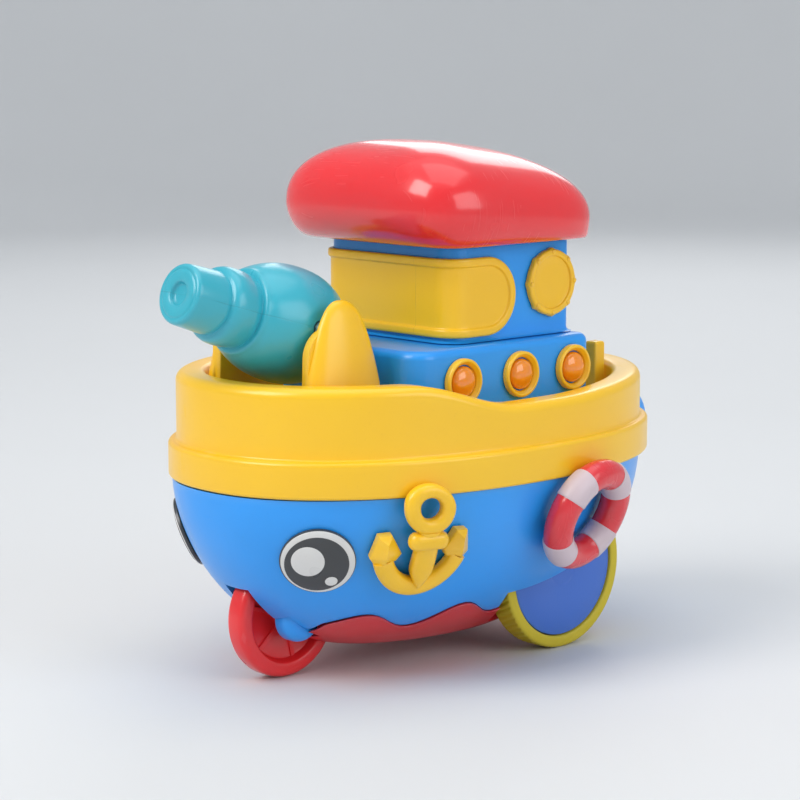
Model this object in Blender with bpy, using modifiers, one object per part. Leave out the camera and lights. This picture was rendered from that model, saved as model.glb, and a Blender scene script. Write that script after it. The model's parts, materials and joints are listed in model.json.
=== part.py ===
"""Press-and-go toy boat on three wheels, as an assembly of separate moulded and turned pieces.

Lengths are written in millimetres and turned into metres by MM. X runs to the bow, Y to port,
Z up. The origin is on the ground, under the middle of the boat's bounding box.
"""

import math

import bmesh
import bpy
from mathutils import Matrix, Vector

MM = 0.001

# ---------------------------------------------------------------- driving dimensions
GAP = 0.3  # air between neighbouring pieces
SIDES = ((1, "port"), (-1, "starboard"))
AROUND = 32  # points round a large moulding

# hull bowl: half-lengths to bow and stern and half-beam at its top edge
HULL_BOW, HULL_STERN, HULL_BEAM = 76.0, 70.9, 49.1
HULL_BOTTOM, HULL_TOP = 7.5, 53.7
HULL_BLUNT = 2.2  # plan exponent of every hull section
HULL_FLAT = (0.41, 0.12, 0.33)  # how much of bow, stern and beam is left at the bottom
HULL_CURVE = (1.90, 2.52, 1.52)  # how fast each swells above the bottom
HULL_WALL = 2.2

# rubbing strake, bulwark and deck, one yellow moulding
STRAKE_BOW, STRAKE_STERN, STRAKE_BEAM = 76.5, 73.5, 51.1
STRAKE_TOP = 63.4
BULWARK_INSET = 2.2
RIM_WIDTH = 8.0
RIM_BOW, RIM_WAIST, RIM_STERN = 82.0, 74.8, 77.5
DECK_TOP = 68.0
DECK_THICK = 2.0
HATCH = (-26.0, 16.0, 20.0)  # aft edge, fore edge and half-width of the hole in the deck

# superstructure
HOUSE_AFT, HOUSE_FORE, HOUSE_WIDE, HOUSE_TOP = -37.0, 30.0, 31.0, 88.4
HOUSE_CORNERS = (7.0, 3.2)  # plan radii of the bow and the stern corners
BRIDGE_AFT, BRIDGE_FORE, BRIDGE_WIDE, BRIDGE_TOP = -34.5, 12.0, 25.5, 116.0
BRIDGE_CORNERS = (6.0, 3.0)
CABIN_SOFT = 2.4
# hole in each cabin's top: aft and fore edge, half-width, corner radii
HOUSE_HOLE = (-13.2, -5.4, 4.2, (1.0, 1.0))
BRIDGE_HOLE = (-22.5, 0.0, 13.5, (1.0, 1.0))
SHELL = 2.0
PORTHOLE_X = (13.9, -8.1, -28.7)
PORTHOLE_Z = 79.5
PORTHOLE_R, LENS_R = 6.3, 4.2
ROUND_WINDOW = (-25.4, 102.9, 9.6)  # x, z, radius
WINDOW_END = -11.2  # where the wrap-round window's band ends on each side
WINDOW_Z, WINDOW_HALF, WINDOW_PROUD = 100.8, 10.7, 1.3
WINDOW_STEPS = (0.0, 0.03, 0.12, 0.28, 0.55, 1.0)  # rings of its round end, in half-heights

# roof, which is the press button
ROOF_X, ROOF_LONG, ROOF_WIDE = -7.2, 33.6, 35.8
ROOF_WAIST_Z, ROOF_TILT = 122.4, 0.069
ROOF_RISE, ROOF_RISE_TILT = 18.8, 0.067
ROOF_DROP = 7.6
ROOF_BLUNT = (8.0, 4.6)  # plan exponents of the mouth and of everything above it
ROOF_MOUTH = (-11.0, 28.8, 30.8)  # middle, half-length and half-width of the mouth
ROOF_WALL, ROOF_LIP = 2.0, 1.3
ROOF_LEVELS = (-1.0, -0.7, -0.25, 0.15, 0.5, 0.75, 0.9, 0.98)
PRESS_TRAVEL = 7.0

# running gear
REAR_X, REAR_R, REAR_FACE, REAR_WIDTH = -26.7, 22.7, 31.3, 8.0
FRONT_X, FRONT_R, FRONT_HALF = 50.6, 16.9, 3.3
FORK_R, FORK_Y, FORK_TOP = 6.4, 10.2, 42.0
TYRE_THICK = 3.3
WELL_R, WELL_INNER, WELL_OUTER = 24.9, 21.8, 33.5
WHEEL_SIDES = 28
AXLE_R = 1.5

# gear train, all shafts along Y; positions are (x, z)
MODULE = 0.9
RACK_MODULE = 0.9
AXLE_TEETH, PINION_TEETH, WHEEL_TEETH = 20, 8, 20
INPUT_TEETH, INPUT_WHEEL_TEETH, CLUTCH_TEETH = 10, 22, 8
RACK_X, RACK_HALF = -7.0, 2.6
REACH = MODULE * (AXLE_TEETH + PINION_TEETH) / 2  # a wheel's and a pinion's centre distance
IDLER_AT = (REAR_X + REACH, REAR_R)
FLY_AT = (IDLER_AT[0] + REACH * math.cos(0.3), REAR_R + REACH * math.sin(0.3))
INPUT_AT = (RACK_X + RACK_MODULE * INPUT_TEETH / 2, 44.5)
CLUTCH_SLIP = 0.6  # how far the clutch gear stands off the idler while the roof is up
SHAFT_R = 1.0
PLATE_Y, PLATE_THICK = 12.0, 2.0
PLATE_LOW, PLATE_HIGH, PLATE_AFT, PLATE_FORE = 15.0, 56.0, -31.0, 9.0
PILLARS = ((-25.0, 48.0), (7.0, 54.0), (6.6, 17.4))
PILLAR_R = 2.2
FLYWHEEL_R, FLYWHEEL_HALF, FLYWHEEL_Y = 9.8, 2.4, -7.5
RACK_LOW, RACK_TEETH_TOP, RACK_HIGH = 37.0, 57.6, 138.0
RACK_TEETH, RACK_DEEP = 7, 5.0
COLLAR_R, COLLAR_LOW, COLLAR_HIGH = 7.0, 126.0, 130.5
SPRING_R, SPRING_WIRE, SPRING_LOW, SPRING_HIGH, SPRING_TURNS = 8.0, 0.6, 89.6, 125.2, 6
SPRING_SIDES = 10  # straight runs in each turn
GUIDE_LOW, GUIDE_HIGH, GUIDE_HALF = 59.4, 65.6, 5.0

# cannon and its cheeks
PIVOT = (50.1, 95.3)
CANNON_TILT = math.radians(17.2)
TRUNNION_R, TRUNNION_IN = 1.9, 12.4
EAR_INNER, EAR_X, EAR_LOW, EAR_TOP = 16.5, 46.0, DECK_TOP + GAP, 102.7
EAR_LONG, EAR_BULGE, EAR_THICK = 12.6, 6.4, 1.8
EAR_PLATE_R, EAR_PLATE_DROP, EAR_PLATE_THICK = 9.4, 7.5, 3.0

# keel, screws and the posts they bite into
KEEL_GROW, KEEL_TOP = 0.7, 26.0
KEEL_NOSE = 50.4
SCREWS = ((22.0, 13.0, 8.8), (22.0, -13.0, 8.8), (-40.0, 0.0, 12.6))  # x, y, seat height
SCREW_HEAD, SCREW_SHANK, SCREW_LONG = 2.4, 1.2, 14.0
POST_R, POST_LIFT = 3.0, 4.6

# deck fittings and trim on the hull's sides
FIN_Z, FIN_TALL, FIN_HALF, FIN_REACH = 59.0, 9.0, 15.2, 11.6
BITT_X, BITT_Y, BITT_HALF, BITT_TALL = -55.8, 15.4, 2.1, 14.6
EYE_AT, EYE_LONG, EYE_TALL = (60.2, 37.4), 9.5, 9.7
BUOY_AT, BUOY_R, BUOY_TUBE = (-14.9, 50.6, 42.5), 12.2, 4.3
BUOY_YAW, BUOY_LEAN = math.radians(8.0), math.radians(20.0)
ANCHOR_AT, ANCHOR_OFF, ANCHOR_THICK = (38.4, 42.7), 2.6, 2.8
ANCHOR_RING_Y, ANCHOR_RING_R, EYELET_R, ANCHOR_LEAN = 10.0, 6.6, 2.9, 0.07

BLUE = (0.045, 0.376, 0.913)
DEEP_BLUE = (0.05, 0.174, 0.645)
YELLOW = (1.0, 0.597, 0.038)
TYRE_YELLOW = (0.658, 0.539, 0.026)
RED = (0.88, 0.052, 0.061)
CYAN = (0.05, 0.479, 0.604)
ORANGE = (1.0, 0.351, 0.013)
WHITE = (0.8, 0.8, 0.8)
STEEL = (0.6, 0.6, 0.62)
NYLON = (0.83, 0.82, 0.76)

parts = None
cutters = None


# ---------------------------------------------------------------- general helpers
def clear_scene():
    for old in list(bpy.data.objects):
        bpy.data.objects.remove(old, do_unlink=True)


def new_collection(name):
    made = bpy.data.collections.new(name)
    bpy.context.scene.collection.children.link(made)
    return made


def paint(obj, colour, roughness=0.3, metallic=0.0):
    mat = bpy.data.materials.new(obj.name)
    mat.use_nodes = True
    shader = mat.node_tree.nodes["Principled BSDF"]
    shader.inputs["Base Color"].default_value = (*colour, 1.0)
    shader.inputs["Roughness"].default_value = roughness
    shader.inputs["Metallic"].default_value = metallic
    obj.data.materials.clear()
    obj.data.materials.append(mat)


def add_piece(name, bm, at=(0.0, 0.0, 0.0), cutter=False):
    """Turns a bmesh in millimetres into an object in metres with its origin at `at`."""
    bmesh.ops.translate(bm, verts=bm.verts, vec=-Vector(at))
    bmesh.ops.scale(bm, verts=bm.verts, vec=(MM, MM, MM))
    mesh = bpy.data.meshes.new(name)
    bm.to_mesh(mesh)
    bm.free()
    mesh.shade_smooth()
    mesh.set_sharp_from_angle(angle=math.radians(35))
    obj = bpy.data.objects.new(name, mesh)
    obj.location = Vector(at) * MM
    (cutters if cutter else parts).objects.link(obj)
    if cutter:
        obj.hide_render = True
        obj.display_type = "WIRE"
    return obj


def combine(obj, other, operation="DIFFERENCE"):
    mod = obj.modifiers.new(f"{operation.lower()}_{other.name}", "BOOLEAN")
    mod.operation = operation
    mod.object = other
    mod.solver = "EXACT"


def loft(rings, loop=False):
    """Skin over rings of equal length; open stacks get a flat cap at each end."""
    bm = bmesh.new()
    rows = [[bm.verts.new(p) for p in ring] for ring in rings]
    count = len(rows[0])
    pairs = list(zip(rows, rows[1:]))
    if loop:
        pairs.append((rows[-1], rows[0]))
    for low, high in pairs:
        for i in range(count):
            j = (i + 1) % count
            bm.faces.new((low[i], low[j], high[j], high[i]))
    if not loop:
        bm.faces.new(list(reversed(rows[0])))
        bm.faces.new(rows[-1])
    bmesh.ops.recalc_face_normals(bm, faces=bm.faces)
    return bm


def box(low, high):
    bm = bmesh.new()
    bmesh.ops.create_cube(bm, size=1.0)
    size = Vector(high) - Vector(low)
    bmesh.ops.scale(bm, verts=bm.verts, vec=size)
    bmesh.ops.translate(bm, verts=bm.verts, vec=(Vector(high) + Vector(low)) / 2)
    return bm


def rod_y(x, z, radius, y0, y1, sides=16):
    """Cylinder along Y with a corner of its polygon at the bottom."""
    bm = bmesh.new()
    bmesh.ops.create_cone(
        bm, cap_ends=True, segments=sides, radius1=radius, radius2=radius, depth=abs(y1 - y0)
    )
    bmesh.ops.rotate(bm, verts=bm.verts, matrix=Matrix.Rotation(math.pi / 2, 3, "X"))
    bmesh.ops.translate(bm, verts=bm.verts, vec=(x, (y0 + y1) / 2, z))
    return bm


def rod_z(x, y, radius, z0, z1, sides=16):
    bm = bmesh.new()
    bmesh.ops.create_cone(
        bm, cap_ends=True, segments=sides, radius1=radius, radius2=radius, depth=z1 - z0
    )
    bmesh.ops.translate(bm, verts=bm.verts, vec=(x, y, (z0 + z1) / 2))
    return bm


def prism_y(outline, y0, y1):
    """Flat XZ outline pushed along Y."""
    return loft([[(x, y0, z) for x, z in outline], [(x, y1, z) for x, z in outline]])


def turned(name, profile, steps, at, turn=None, closed=False):
    """Profile of (radius, height) pairs, outer side from top to bottom, spun by a Screw."""
    mesh = bpy.data.meshes.new(name)
    points = [(r * MM, 0.0, h * MM) for r, h in profile]
    edges = [(i, i + 1) for i in range(len(points) - 1)]
    if closed:
        edges.append((len(points) - 1, 0))
    mesh.from_pydata(points, edges, [])
    obj = bpy.data.objects.new(name, mesh)
    parts.objects.link(obj)
    screw = obj.modifiers.new("turn", "SCREW")
    screw.axis = "Z"
    screw.steps = steps
    screw.render_steps = steps
    screw.use_merge_vertices = True
    screw.merge_threshold = 0.00001
    screw.use_smooth_shade = True
    obj.location = Vector(at) * MM
    if turn is not None:
        obj.rotation_euler = turn.to_euler()
    return obj


def arc(cx, cy, radius, start, end, count):
    """Points on an arc, angles in degrees."""
    steps = [math.radians(start + (end - start) * i / (count - 1)) for i in range(count)]
    return [(cx + radius * math.cos(a), cy + radius * math.sin(a)) for a in steps]


def signed_power(value, power):
    return math.copysign(abs(value) ** power, value)


# ---------------------------------------------------------------- plan outlines
def oval(bow, stern, half, blunt, blunt_stern=None, count=AROUND, x=0.0):
    """Superellipse in plan with its own half-length and bluntness to bow and to stern."""
    points = []
    for i in range(count):
        a = 2 * math.pi * i / count
        c, s = math.cos(a), math.sin(a)
        n = blunt if c >= 0 else (blunt_stern or blunt)
        long = bow if c >= 0 else stern
        points.append((x + long * signed_power(c, 2 / n), half * signed_power(s, 2 / n)))
    return points


def rounded_box(aft, fore, half, corners):
    """Rectangle in plan with its own corner radius to bow and to stern, anticlockwise."""
    points = []
    bow, stern = (max(radius, 0.4) for radius in corners)
    points += arc(fore - bow, half - bow, bow, 0, 90, 6)
    points += arc(aft + stern, half - stern, stern, 90, 180, 4)
    points += arc(aft + stern, stern - half, stern, 180, 270, 4)
    points += arc(fore - bow, bow - half, bow, 270, 360, 6)
    return points


# ---------------------------------------------------------------- hull, keel and deck
def swell(t, power):
    return (1 - (1 - t) ** power) ** (1 / power)


def hull_ring(t, grow=0.0):
    """Section of the bowl at height fraction t, grown outwards by `grow`."""
    sizes = []
    for size, flat, curve in zip((HULL_BOW, HULL_STERN, HULL_BEAM), HULL_FLAT, HULL_CURVE):
        sizes.append(size * (flat + (1 - flat) * swell(t, curve)) + grow)
    return oval(*sizes, HULL_BLUNT)


def bowl(grow, wall, top_z, count=9):
    """Closed shell of the bowl from its bottom up to top_z, as outer and inner skins."""
    bottom = HULL_BOTTOM - grow
    height = HULL_TOP - HULL_BOTTOM
    top_t = (top_z - HULL_BOTTOM) / height
    steps = [top_t * (i / (count - 1)) ** 1.6 for i in range(count)]
    outer = []
    for t in steps:
        z = bottom + (HULL_BOTTOM + height * t - bottom) * (1.0 if t > 0 else 0.0)
        outer.append([(x, y, z) for x, y in hull_ring(t, grow)])
    inner = []
    for t in reversed(steps):
        z = max(HULL_BOTTOM + height * t, bottom + wall)
        if t > 0:
            z = HULL_BOTTOM + height * t + wall * (1 - t / top_t)
        inner.append([(x, y, z) for x, y in hull_ring(t, grow - wall)])
    return loft(outer + inner)


def wave_height(x):
    """Scalloped seam between the hull and the red underbody."""
    return 17.0 + 2.6 * math.cos(2 * math.pi * (x - 43.0) / 29.0)


def wave_block(name, lift):
    """Everything under the scalloped seam, as a cutter."""
    low = 0.0
    xs = [KEEL_NOSE + lift - 4.8 * i for i in range(24)]
    outline = [(xs[-1], low)]
    outline += [(xs[0], low)]
    outline += [(x, wave_height(x) + lift) for x in xs]
    return add_piece(name, prism_y(outline, -60.0, 60.0), cutter=True)


def wheel_well_cutters():
    made = []
    for side, name in SIDES:
        bm = rod_y(REAR_X, REAR_R, WELL_R, side * WELL_INNER, side * WELL_OUTER, 40)
        made.append(add_piece(f"cut_well_{name}", bm, cutter=True))
    slot = rod_y(FRONT_X, FRONT_R, FRONT_R + 1.5, -FRONT_HALF - 1.4, FRONT_HALF + 1.4, 40)
    made.append(add_piece("cut_front_slot", slot, cutter=True))
    leg = fork_outline(FORK_R + GAP, 60.0)
    made.append(add_piece("cut_fork", prism_y(leg, -FORK_Y - GAP, FORK_Y + GAP), cutter=True))
    return made


def fork_outline(radius, top):
    round_end = arc(FRONT_X, FRONT_R, radius, 180, 360, 13)
    return round_end + [(FRONT_X + radius, top), (FRONT_X - radius, top)]


def make_hull(wells):
    hull = add_piece("hull_shell", bowl(0.0, HULL_WALL, HULL_TOP - GAP))
    combine(hull, wave_block("cut_wave_hull", GAP / 2))
    for cutter in wells:
        combine(hull, cutter)
    paint(hull, BLUE, 0.28)

    keel = add_piece("keel_plate", bowl(KEEL_GROW, HULL_WALL + KEEL_GROW, KEEL_TOP, 6))
    combine(keel, wave_block("cut_wave_keel", -GAP / 2), "INTERSECT")
    for cutter in wells:
        combine(keel, cutter)
    for i, (x, y, seat) in enumerate(SCREWS):
        hole = rod_z(x, y, SCREW_SHANK + GAP, 0.0, 20.0, 12)
        combine(keel, add_piece(f"cut_screw_{i}", hole, cutter=True))
        pocket = rod_z(x, y, SCREW_HEAD + 0.4, 0.0, seat, 14)
        combine(keel, add_piece(f"cut_pocket_{i}", pocket, cutter=True))
    paint(keel, RED, 0.3)


def make_screws():
    for i, (x, y, seat) in enumerate(SCREWS, 1):
        top = seat - GAP
        profile = [(0.0, top + SCREW_LONG), (SCREW_SHANK, top + SCREW_LONG - 2.0)]
        profile += [(SCREW_SHANK, top), (SCREW_HEAD, top), (SCREW_HEAD, top - 0.7)]
        profile += [(0.0, top - 1.2)]
        screw = turned(f"keel_screw_{i}", profile, 12, (x, y, 0.0))
        paint(screw, STEEL, 0.35, 1.0)


def rim_height(x):
    """Top of the bulwark: high at the bow, an S-curve down to the waist, up again aft."""
    t = min(max((x - 8.0) / 34.0, 0.0), 1.0)
    bow = t * t * (3 - 2 * t)
    aft = min(max((-12.0 - x) / 60.0, 0.0), 1.0)
    return RIM_WAIST + (RIM_BOW - RIM_WAIST) * bow + (RIM_STERN - RIM_WAIST) * aft ** 1.3


def strake_ring(inset):
    return oval(STRAKE_BOW - inset, STRAKE_STERN - inset, STRAKE_BEAM - inset, HULL_BLUNT)


def make_deck():
    def level(inset, z):
        return [(x, y, z) for x, y in strake_ring(inset)]

    def under_rim(inset, drop):
        return [(x, y, rim_height(x) - drop) for x, y in strake_ring(inset)]

    inner = BULWARK_INSET + RIM_WIDTH
    soft = 2.6
    crown = arc(0.0, 0.0, soft, 180, 90, 4)
    rings = [level(40.0, DECK_TOP - DECK_THICK), level(inner - SHELL, DECK_TOP - DECK_THICK)]
    rings += [under_rim(inner - SHELL, SHELL + 0.4), under_rim(BULWARK_INSET + SHELL, SHELL + 0.4)]
    rings += [level(4.4, STRAKE_TOP - 1.0), level(5.4, HULL_TOP)]
    rings += [level(0.6, HULL_TOP), level(0.0, HULL_TOP + 0.8)]
    rings += [level(0.0, STRAKE_TOP - 1.2), level(0.5, STRAKE_TOP - 0.3)]
    rings += [level(BULWARK_INSET, STRAKE_TOP)]
    rings += [under_rim(BULWARK_INSET + soft + dx, soft - dz) for dx, dz in crown]
    rings += [under_rim(inner - soft - dx, soft - dz) for dx, dz in reversed(crown)]
    rings += [level(inner, DECK_TOP), level(40.0, DECK_TOP)]
    deck = add_piece("deck_bulwark", loft(rings))
    hatch = box((HATCH[0], -HATCH[2], 60.0), (HATCH[1], HATCH[2], 80.0))
    combine(deck, add_piece("cut_hatch", hatch, cutter=True))
    for i, (x, y, seat) in enumerate(SCREWS):
        low = seat + POST_LIFT
        post = add_piece(f"post_{i}", rod_z(x, y, POST_R, low, DECK_TOP - 1.0, 12), cutter=True)
        combine(deck, post, "UNION")
        bore = rod_z(x, y, SCREW_SHANK + GAP, low - 1.0, low + SCREW_LONG, 10)
        combine(deck, add_piece(f"post_bore_{i}", bore, cutter=True))
    paint(deck, YELLOW, 0.3)


# ---------------------------------------------------------------- superstructure
def cabin(name, plan, hole, low, top):
    """Open-bottomed cabin with a soft top edge and a square hole for the plunger in its top."""
    aft, fore, half, corners = plan

    def level(inset, z):
        radii = [radius - inset for radius in corners]
        outline = rounded_box(aft + inset, fore - inset, half - inset, radii)
        return [(x, y, z) for x, y in outline]

    bend = arc(0.0, 0.0, CABIN_SOFT, 0, 90, 4)
    rings = [level(SHELL, low), level(0.0, low)]
    rings += [level(CABIN_SOFT - dx, top - CABIN_SOFT + dz) for dx, dz in bend]
    rings += [[(x, y, z) for x, y in rounded_box(*hole)] for z in (top, top - SHELL)]
    rings.append(level(SHELL, top - SHELL))
    paint(add_piece(name, loft(rings, loop=True)), BLUE, 0.28)


def make_cabins():
    house = (HOUSE_AFT, HOUSE_FORE, HOUSE_WIDE, HOUSE_CORNERS)
    cabin("deckhouse", house, HOUSE_HOLE, DECK_TOP + GAP, HOUSE_TOP)
    bridge = (BRIDGE_AFT, BRIDGE_FORE, BRIDGE_WIDE, BRIDGE_CORNERS)
    cabin("bridge", bridge, BRIDGE_HOLE, HOUSE_TOP + GAP, BRIDGE_TOP)


def side_frame(side, x, y, z):
    """Place on a cabin's side wall, and the turn that points local +Z outwards."""
    turn = Matrix(((-side, 0, 0), (0, 0, 1), (0, side, 0))).transposed()
    return Vector((x, side * (y + GAP), z)), turn


def make_portholes():
    rim = [(PORTHOLE_R - 0.8, 2.0), (PORTHOLE_R, 0.0), (LENS_R + GAP, 0.0), (LENS_R + GAP, 1.8)]
    dome = [(0.0, 2.2)]
    dome += [(LENS_R * math.cos(a), 0.5 + 1.7 * math.sin(a)) for a in (0.8, 0.0)]
    dome += [(LENS_R, 0.0), (0.0, 0.0)]
    for side, word in SIDES:
        for i, x in enumerate(PORTHOLE_X, 1):
            at, turn = side_frame(side, x, HOUSE_WIDE, PORTHOLE_Z)
            paint(turned(f"porthole_{word}_{i}", rim, 16, at, turn, closed=True), YELLOW, 0.3)
            paint(turned(f"lens_{word}_{i}", dome, 12, at, turn), ORANGE, 0.15)


def make_windows():
    x, z, radius = ROUND_WINDOW
    profile = [(0.0, 0.8), (radius - 2.4, 0.8), (radius - 2.0, 1.6), (radius - 0.6, 1.6)]
    profile += [(radius, 1.0), (radius, 0.0), (0.0, 0.0)]
    for side, word in SIDES:
        at, turn = side_frame(side, x, BRIDGE_WIDE, z)
        paint(turned(f"round_window_{word}", profile, 24, at, turn), YELLOW, 0.3)

    rings = []
    path = bridge_path()
    for spot, normal, run in path:
        near = min(run, path[-1][2] - run, WINDOW_HALF) / WINDOW_HALF
        half = WINDOW_HALF * math.sqrt(max(1 - (1 - near) ** 2, 0.012))
        inner = spot + normal * GAP
        outer = spot + normal * (GAP + WINDOW_PROUD)
        high, low = WINDOW_Z + half, WINDOW_Z - half
        rings.append([(*inner, low), (*outer, low), (*outer, high), (*inner, high)])
    paint(add_piece("wrap_window", loft(rings)), YELLOW, 0.3)


def bridge_path():
    """Points, outward normals and run lengths round the bridge's bow end, port to starboard."""
    radius = BRIDGE_CORNERS[0]
    centre = BRIDGE_FORE - radius
    turns = [math.radians(90 * k / 6) for k in range(7)]
    ends = [WINDOW_END + WINDOW_HALF * k for k in WINDOW_STEPS]
    port = [(Vector((x, BRIDGE_WIDE)), Vector((0.0, 1.0))) for x in ends]
    for a in reversed(turns):
        normal = Vector((math.cos(a), math.sin(a)))
        port.append((Vector((centre, BRIDGE_WIDE - radius)) + normal * radius, normal))
    mirror = [(Vector((p.x, -p.y)), Vector((n.x, -n.y))) for p, n in reversed(port)]
    path, run = [], 0.0
    for spot, normal in port + mirror:
        if path:
            run += (spot - path[-1][0]).length
        path.append((spot, normal, run))
    return path


def roof_rings(wall, lip):
    """Rings of the pillow from its mouth over the waist to near its crown."""
    mouth_long, mouth_wide = ROOF_MOUTH[1] - lip, ROOF_MOUTH[2] - lip
    mouth = oval(mouth_long, mouth_long, mouth_wide, ROOF_BLUNT[0], x=ROOF_MOUTH[0])
    rings = []
    for v in ROOF_LEVELS:
        a = abs(v)
        power = 1.7 if v < 0 else 2.26
        full = (1 - a ** power) ** (1 / power)
        scale = 1.0 if v < 0 else full
        long, wide = ROOF_LONG * scale - wall, ROOF_WIDE * scale - wall
        ring = []
        for (x, y), (edge_x, edge_y) in zip(oval(long, long, wide, ROOF_BLUNT[1]), mouth):
            if v < 0:
                z = ROOF_WAIST_Z + ROOF_TILT * x * (1 - a) + ROOF_DROP * v
                ring.append((edge_x + (x + ROOF_X - edge_x) * full, edge_y + (y - edge_y) * full, z))
            else:
                rise = ROOF_RISE + ROOF_RISE_TILT * x
                ring.append((x + ROOF_X, y, ROOF_WAIST_Z + ROOF_TILT * x + rise * v - wall))
        rings.append(ring)
    return rings


def make_roof():
    skin = roof_rings(0.0, 0.0)[::-1] + roof_rings(ROOF_WALL, ROOF_LIP)
    paint(add_piece("roof_cap", loft(skin), at=(ROOF_X, 0.0, ROOF_WAIST_Z)), RED, 0.16)


# ---------------------------------------------------------------- cannon and its cheeks
def cannon_profile():
    """(radius, distance ahead of the pivot) from the muzzle face back to the tail."""
    profile = [(0.0, 34.6), (2.6, 34.6), (3.0, 35.8), (6.8, 35.6), (7.9, 34.4)]
    profile += [(8.2, 24.8), (9.5, 23.8), (10.2, 20.4), (9.8, 15.6)]
    profile += [(11.3, 15.2), (14.1, 9.6), (15.7, 0.0), (14.8, -7.5)]
    profile += [(11.0, -14.4), (5.0, -17.6), (0.0, -18.2)]
    return profile


def make_cannon():
    turn = Matrix.Rotation(math.pi / 2 - CANNON_TILT, 3, "Y")
    at = (PIVOT[0], 0.0, PIVOT[1])
    cannon = turned("cannon_barrel", cannon_profile(), 20, at, turn)
    for side in (-1, 1):
        hole = rod_y(*PIVOT, TRUNNION_R + GAP, side * 12.0, side * 20.0, 14)
        combine(cannon, add_piece(f"cut_trunnion_{side + 1}", hole, cutter=True))
    paint(cannon, CYAN, 0.3)
    for side, word in SIDES:
        far = EAR_INNER + EAR_PLATE_THICK
        pin = rod_y(*PIVOT, TRUNNION_R, side * TRUNNION_IN, side * far, 14)
        pin_obj = add_piece(f"trunnion_pin_{word}", pin, at=(PIVOT[0], 0.0, PIVOT[1]))
        paint(pin_obj, STEEL, 0.35, 1.0)


def make_ears():
    """Each cheek: half of a bullet with a flat inner face, and a round plate on its inside."""
    for side, word in SIDES:
        rings = []
        for k in range(8):
            drop = (EAR_TOP - EAR_LOW) * (1 - k / 7.0) ** 2.0
            scale = min((max(drop, 0.12) / 23.0) ** 0.38, 1.0)
            z = EAR_TOP - drop
            ring = []
            for i in range(11):
                a = math.pi * i / 10
                x = EAR_X + EAR_LONG * scale * math.cos(a)
                y = EAR_INNER + EAR_THICK + EAR_BULGE * scale * math.sin(a) ** 0.8
                ring.append((x, side * y, z))
            rings.append(ring)
        ear = add_piece(f"cannon_cheek_{word}", loft(rings))
        outline = arc(PIVOT[0], PIVOT[1] - EAR_PLATE_DROP, EAR_PLATE_R, 0, 180, 13)
        outline += [(PIVOT[0] - EAR_PLATE_R, EAR_LOW), (PIVOT[0] + EAR_PLATE_R, EAR_LOW)]
        plate = prism_y(outline, side * EAR_INNER, side * (EAR_INNER + EAR_PLATE_THICK))
        combine(ear, add_piece(f"plate_{word}", plate, cutter=True), "UNION")
        bore = rod_y(*PIVOT, TRUNNION_R + 0.25, side * 10.0, side * (EAR_INNER + 3.4), 14)
        combine(ear, add_piece(f"ear_bore_{word}", bore, cutter=True))
        paint(ear, YELLOW, 0.3)


# ---------------------------------------------------------------- deck fittings and trim


def make_fittings():
    for side, word in SIDES:
        rings = []
        for half, z in ((BITT_HALF, 0.0), (BITT_HALF, BITT_TALL - 0.8), (BITT_HALF - 0.8, BITT_TALL)):
            outline = rounded_box(-half, half, half, (0.7, 0.7))
            rings.append([(BITT_X + x, side * BITT_Y + y, DECK_TOP + GAP + z) for x, y in outline])
        paint(add_piece(f"stern_bitt_{word}", loft(rings)), YELLOW, 0.3)

    rings = []
    for k in range(9):
        a = math.pi * k / 8
        z = FIN_Z - FIN_TALL * math.cos(a)
        half = FIN_HALF * math.sin(a) ** 0.5 + 0.2
        reach = FIN_REACH * math.sin(a) ** 0.6 * (1.0 + 0.18 * math.cos(a)) + 0.4
        ring = []
        for share in (1.0, 0.5, 0.0, -0.5, -1.0):
            edge = (1 - abs(share * half / STRAKE_BEAM) ** HULL_BLUNT) ** (1 / HULL_BLUNT)
            ring.append((-STRAKE_STERN * edge - GAP, share * half, z))
        root = -STRAKE_STERN - GAP
        for share, out in ((-0.88, 0.66), (-0.5, 0.93), (0.0, 1.0), (0.5, 0.93), (0.88, 0.66)):
            ring.append((root - reach * out, share * half, z))
        rings.append(ring)
    tail = add_piece("stern_fin", loft(rings))
    paint(tail, BLUE, 0.28)


def hull_point(x, z, side):
    """Point of the bowl's outside at (x, z) and its outward normal."""
    height = HULL_TOP - HULL_BOTTOM

    def beam(px, pz):
        t = (pz - HULL_BOTTOM) / height
        size = [
            s * (f + (1 - f) * swell(t, c))
            for s, f, c in zip((HULL_BOW, HULL_STERN, HULL_BEAM), HULL_FLAT, HULL_CURVE)
        ]
        long = size[0] if px >= 0 else size[1]
        return size[2] * (1 - abs(px / long) ** HULL_BLUNT) ** (1 / HULL_BLUNT)

    step = 0.2
    y = beam(x, z)
    dx = (beam(x + step, z) - beam(x - step, z)) / (2 * step)
    dz = (beam(x, z + step) - beam(x, z - step)) / (2 * step)
    normal = Vector((-dx, 1.0, -dz)).normalized()
    return Vector((x, side * y, z)), Vector((normal.x, side * normal.y, normal.z))


def hull_matrix(normal):
    """Local +Z along the normal, local +Y as near to up as the wall allows."""
    along = Vector((0, 0, 1)).cross(normal).normalized()
    return Matrix((along, normal.cross(along), normal)).transposed()


def make_eyes():
    """Shallow domed ovals that follow the bow."""
    for side, word in SIDES:
        rings = []
        for radius, lift in ((1.0, 0.8), (1.0, 1.3), (0.9, 1.6), (0.5, 1.75), (0.1, 1.8)):
            rings.append(draped_oval(EYE_AT, EYE_LONG * radius, EYE_TALL * radius, lift, side))
        for radius in (0.9, 0.5, 0.1):
            rings.insert(0, draped_oval(EYE_AT, EYE_LONG * radius, EYE_TALL * radius, 0.8, side))
        eye = add_piece(f"eye_{word}", loft(rings))
        paint(eye, WHITE, 0.2)


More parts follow.
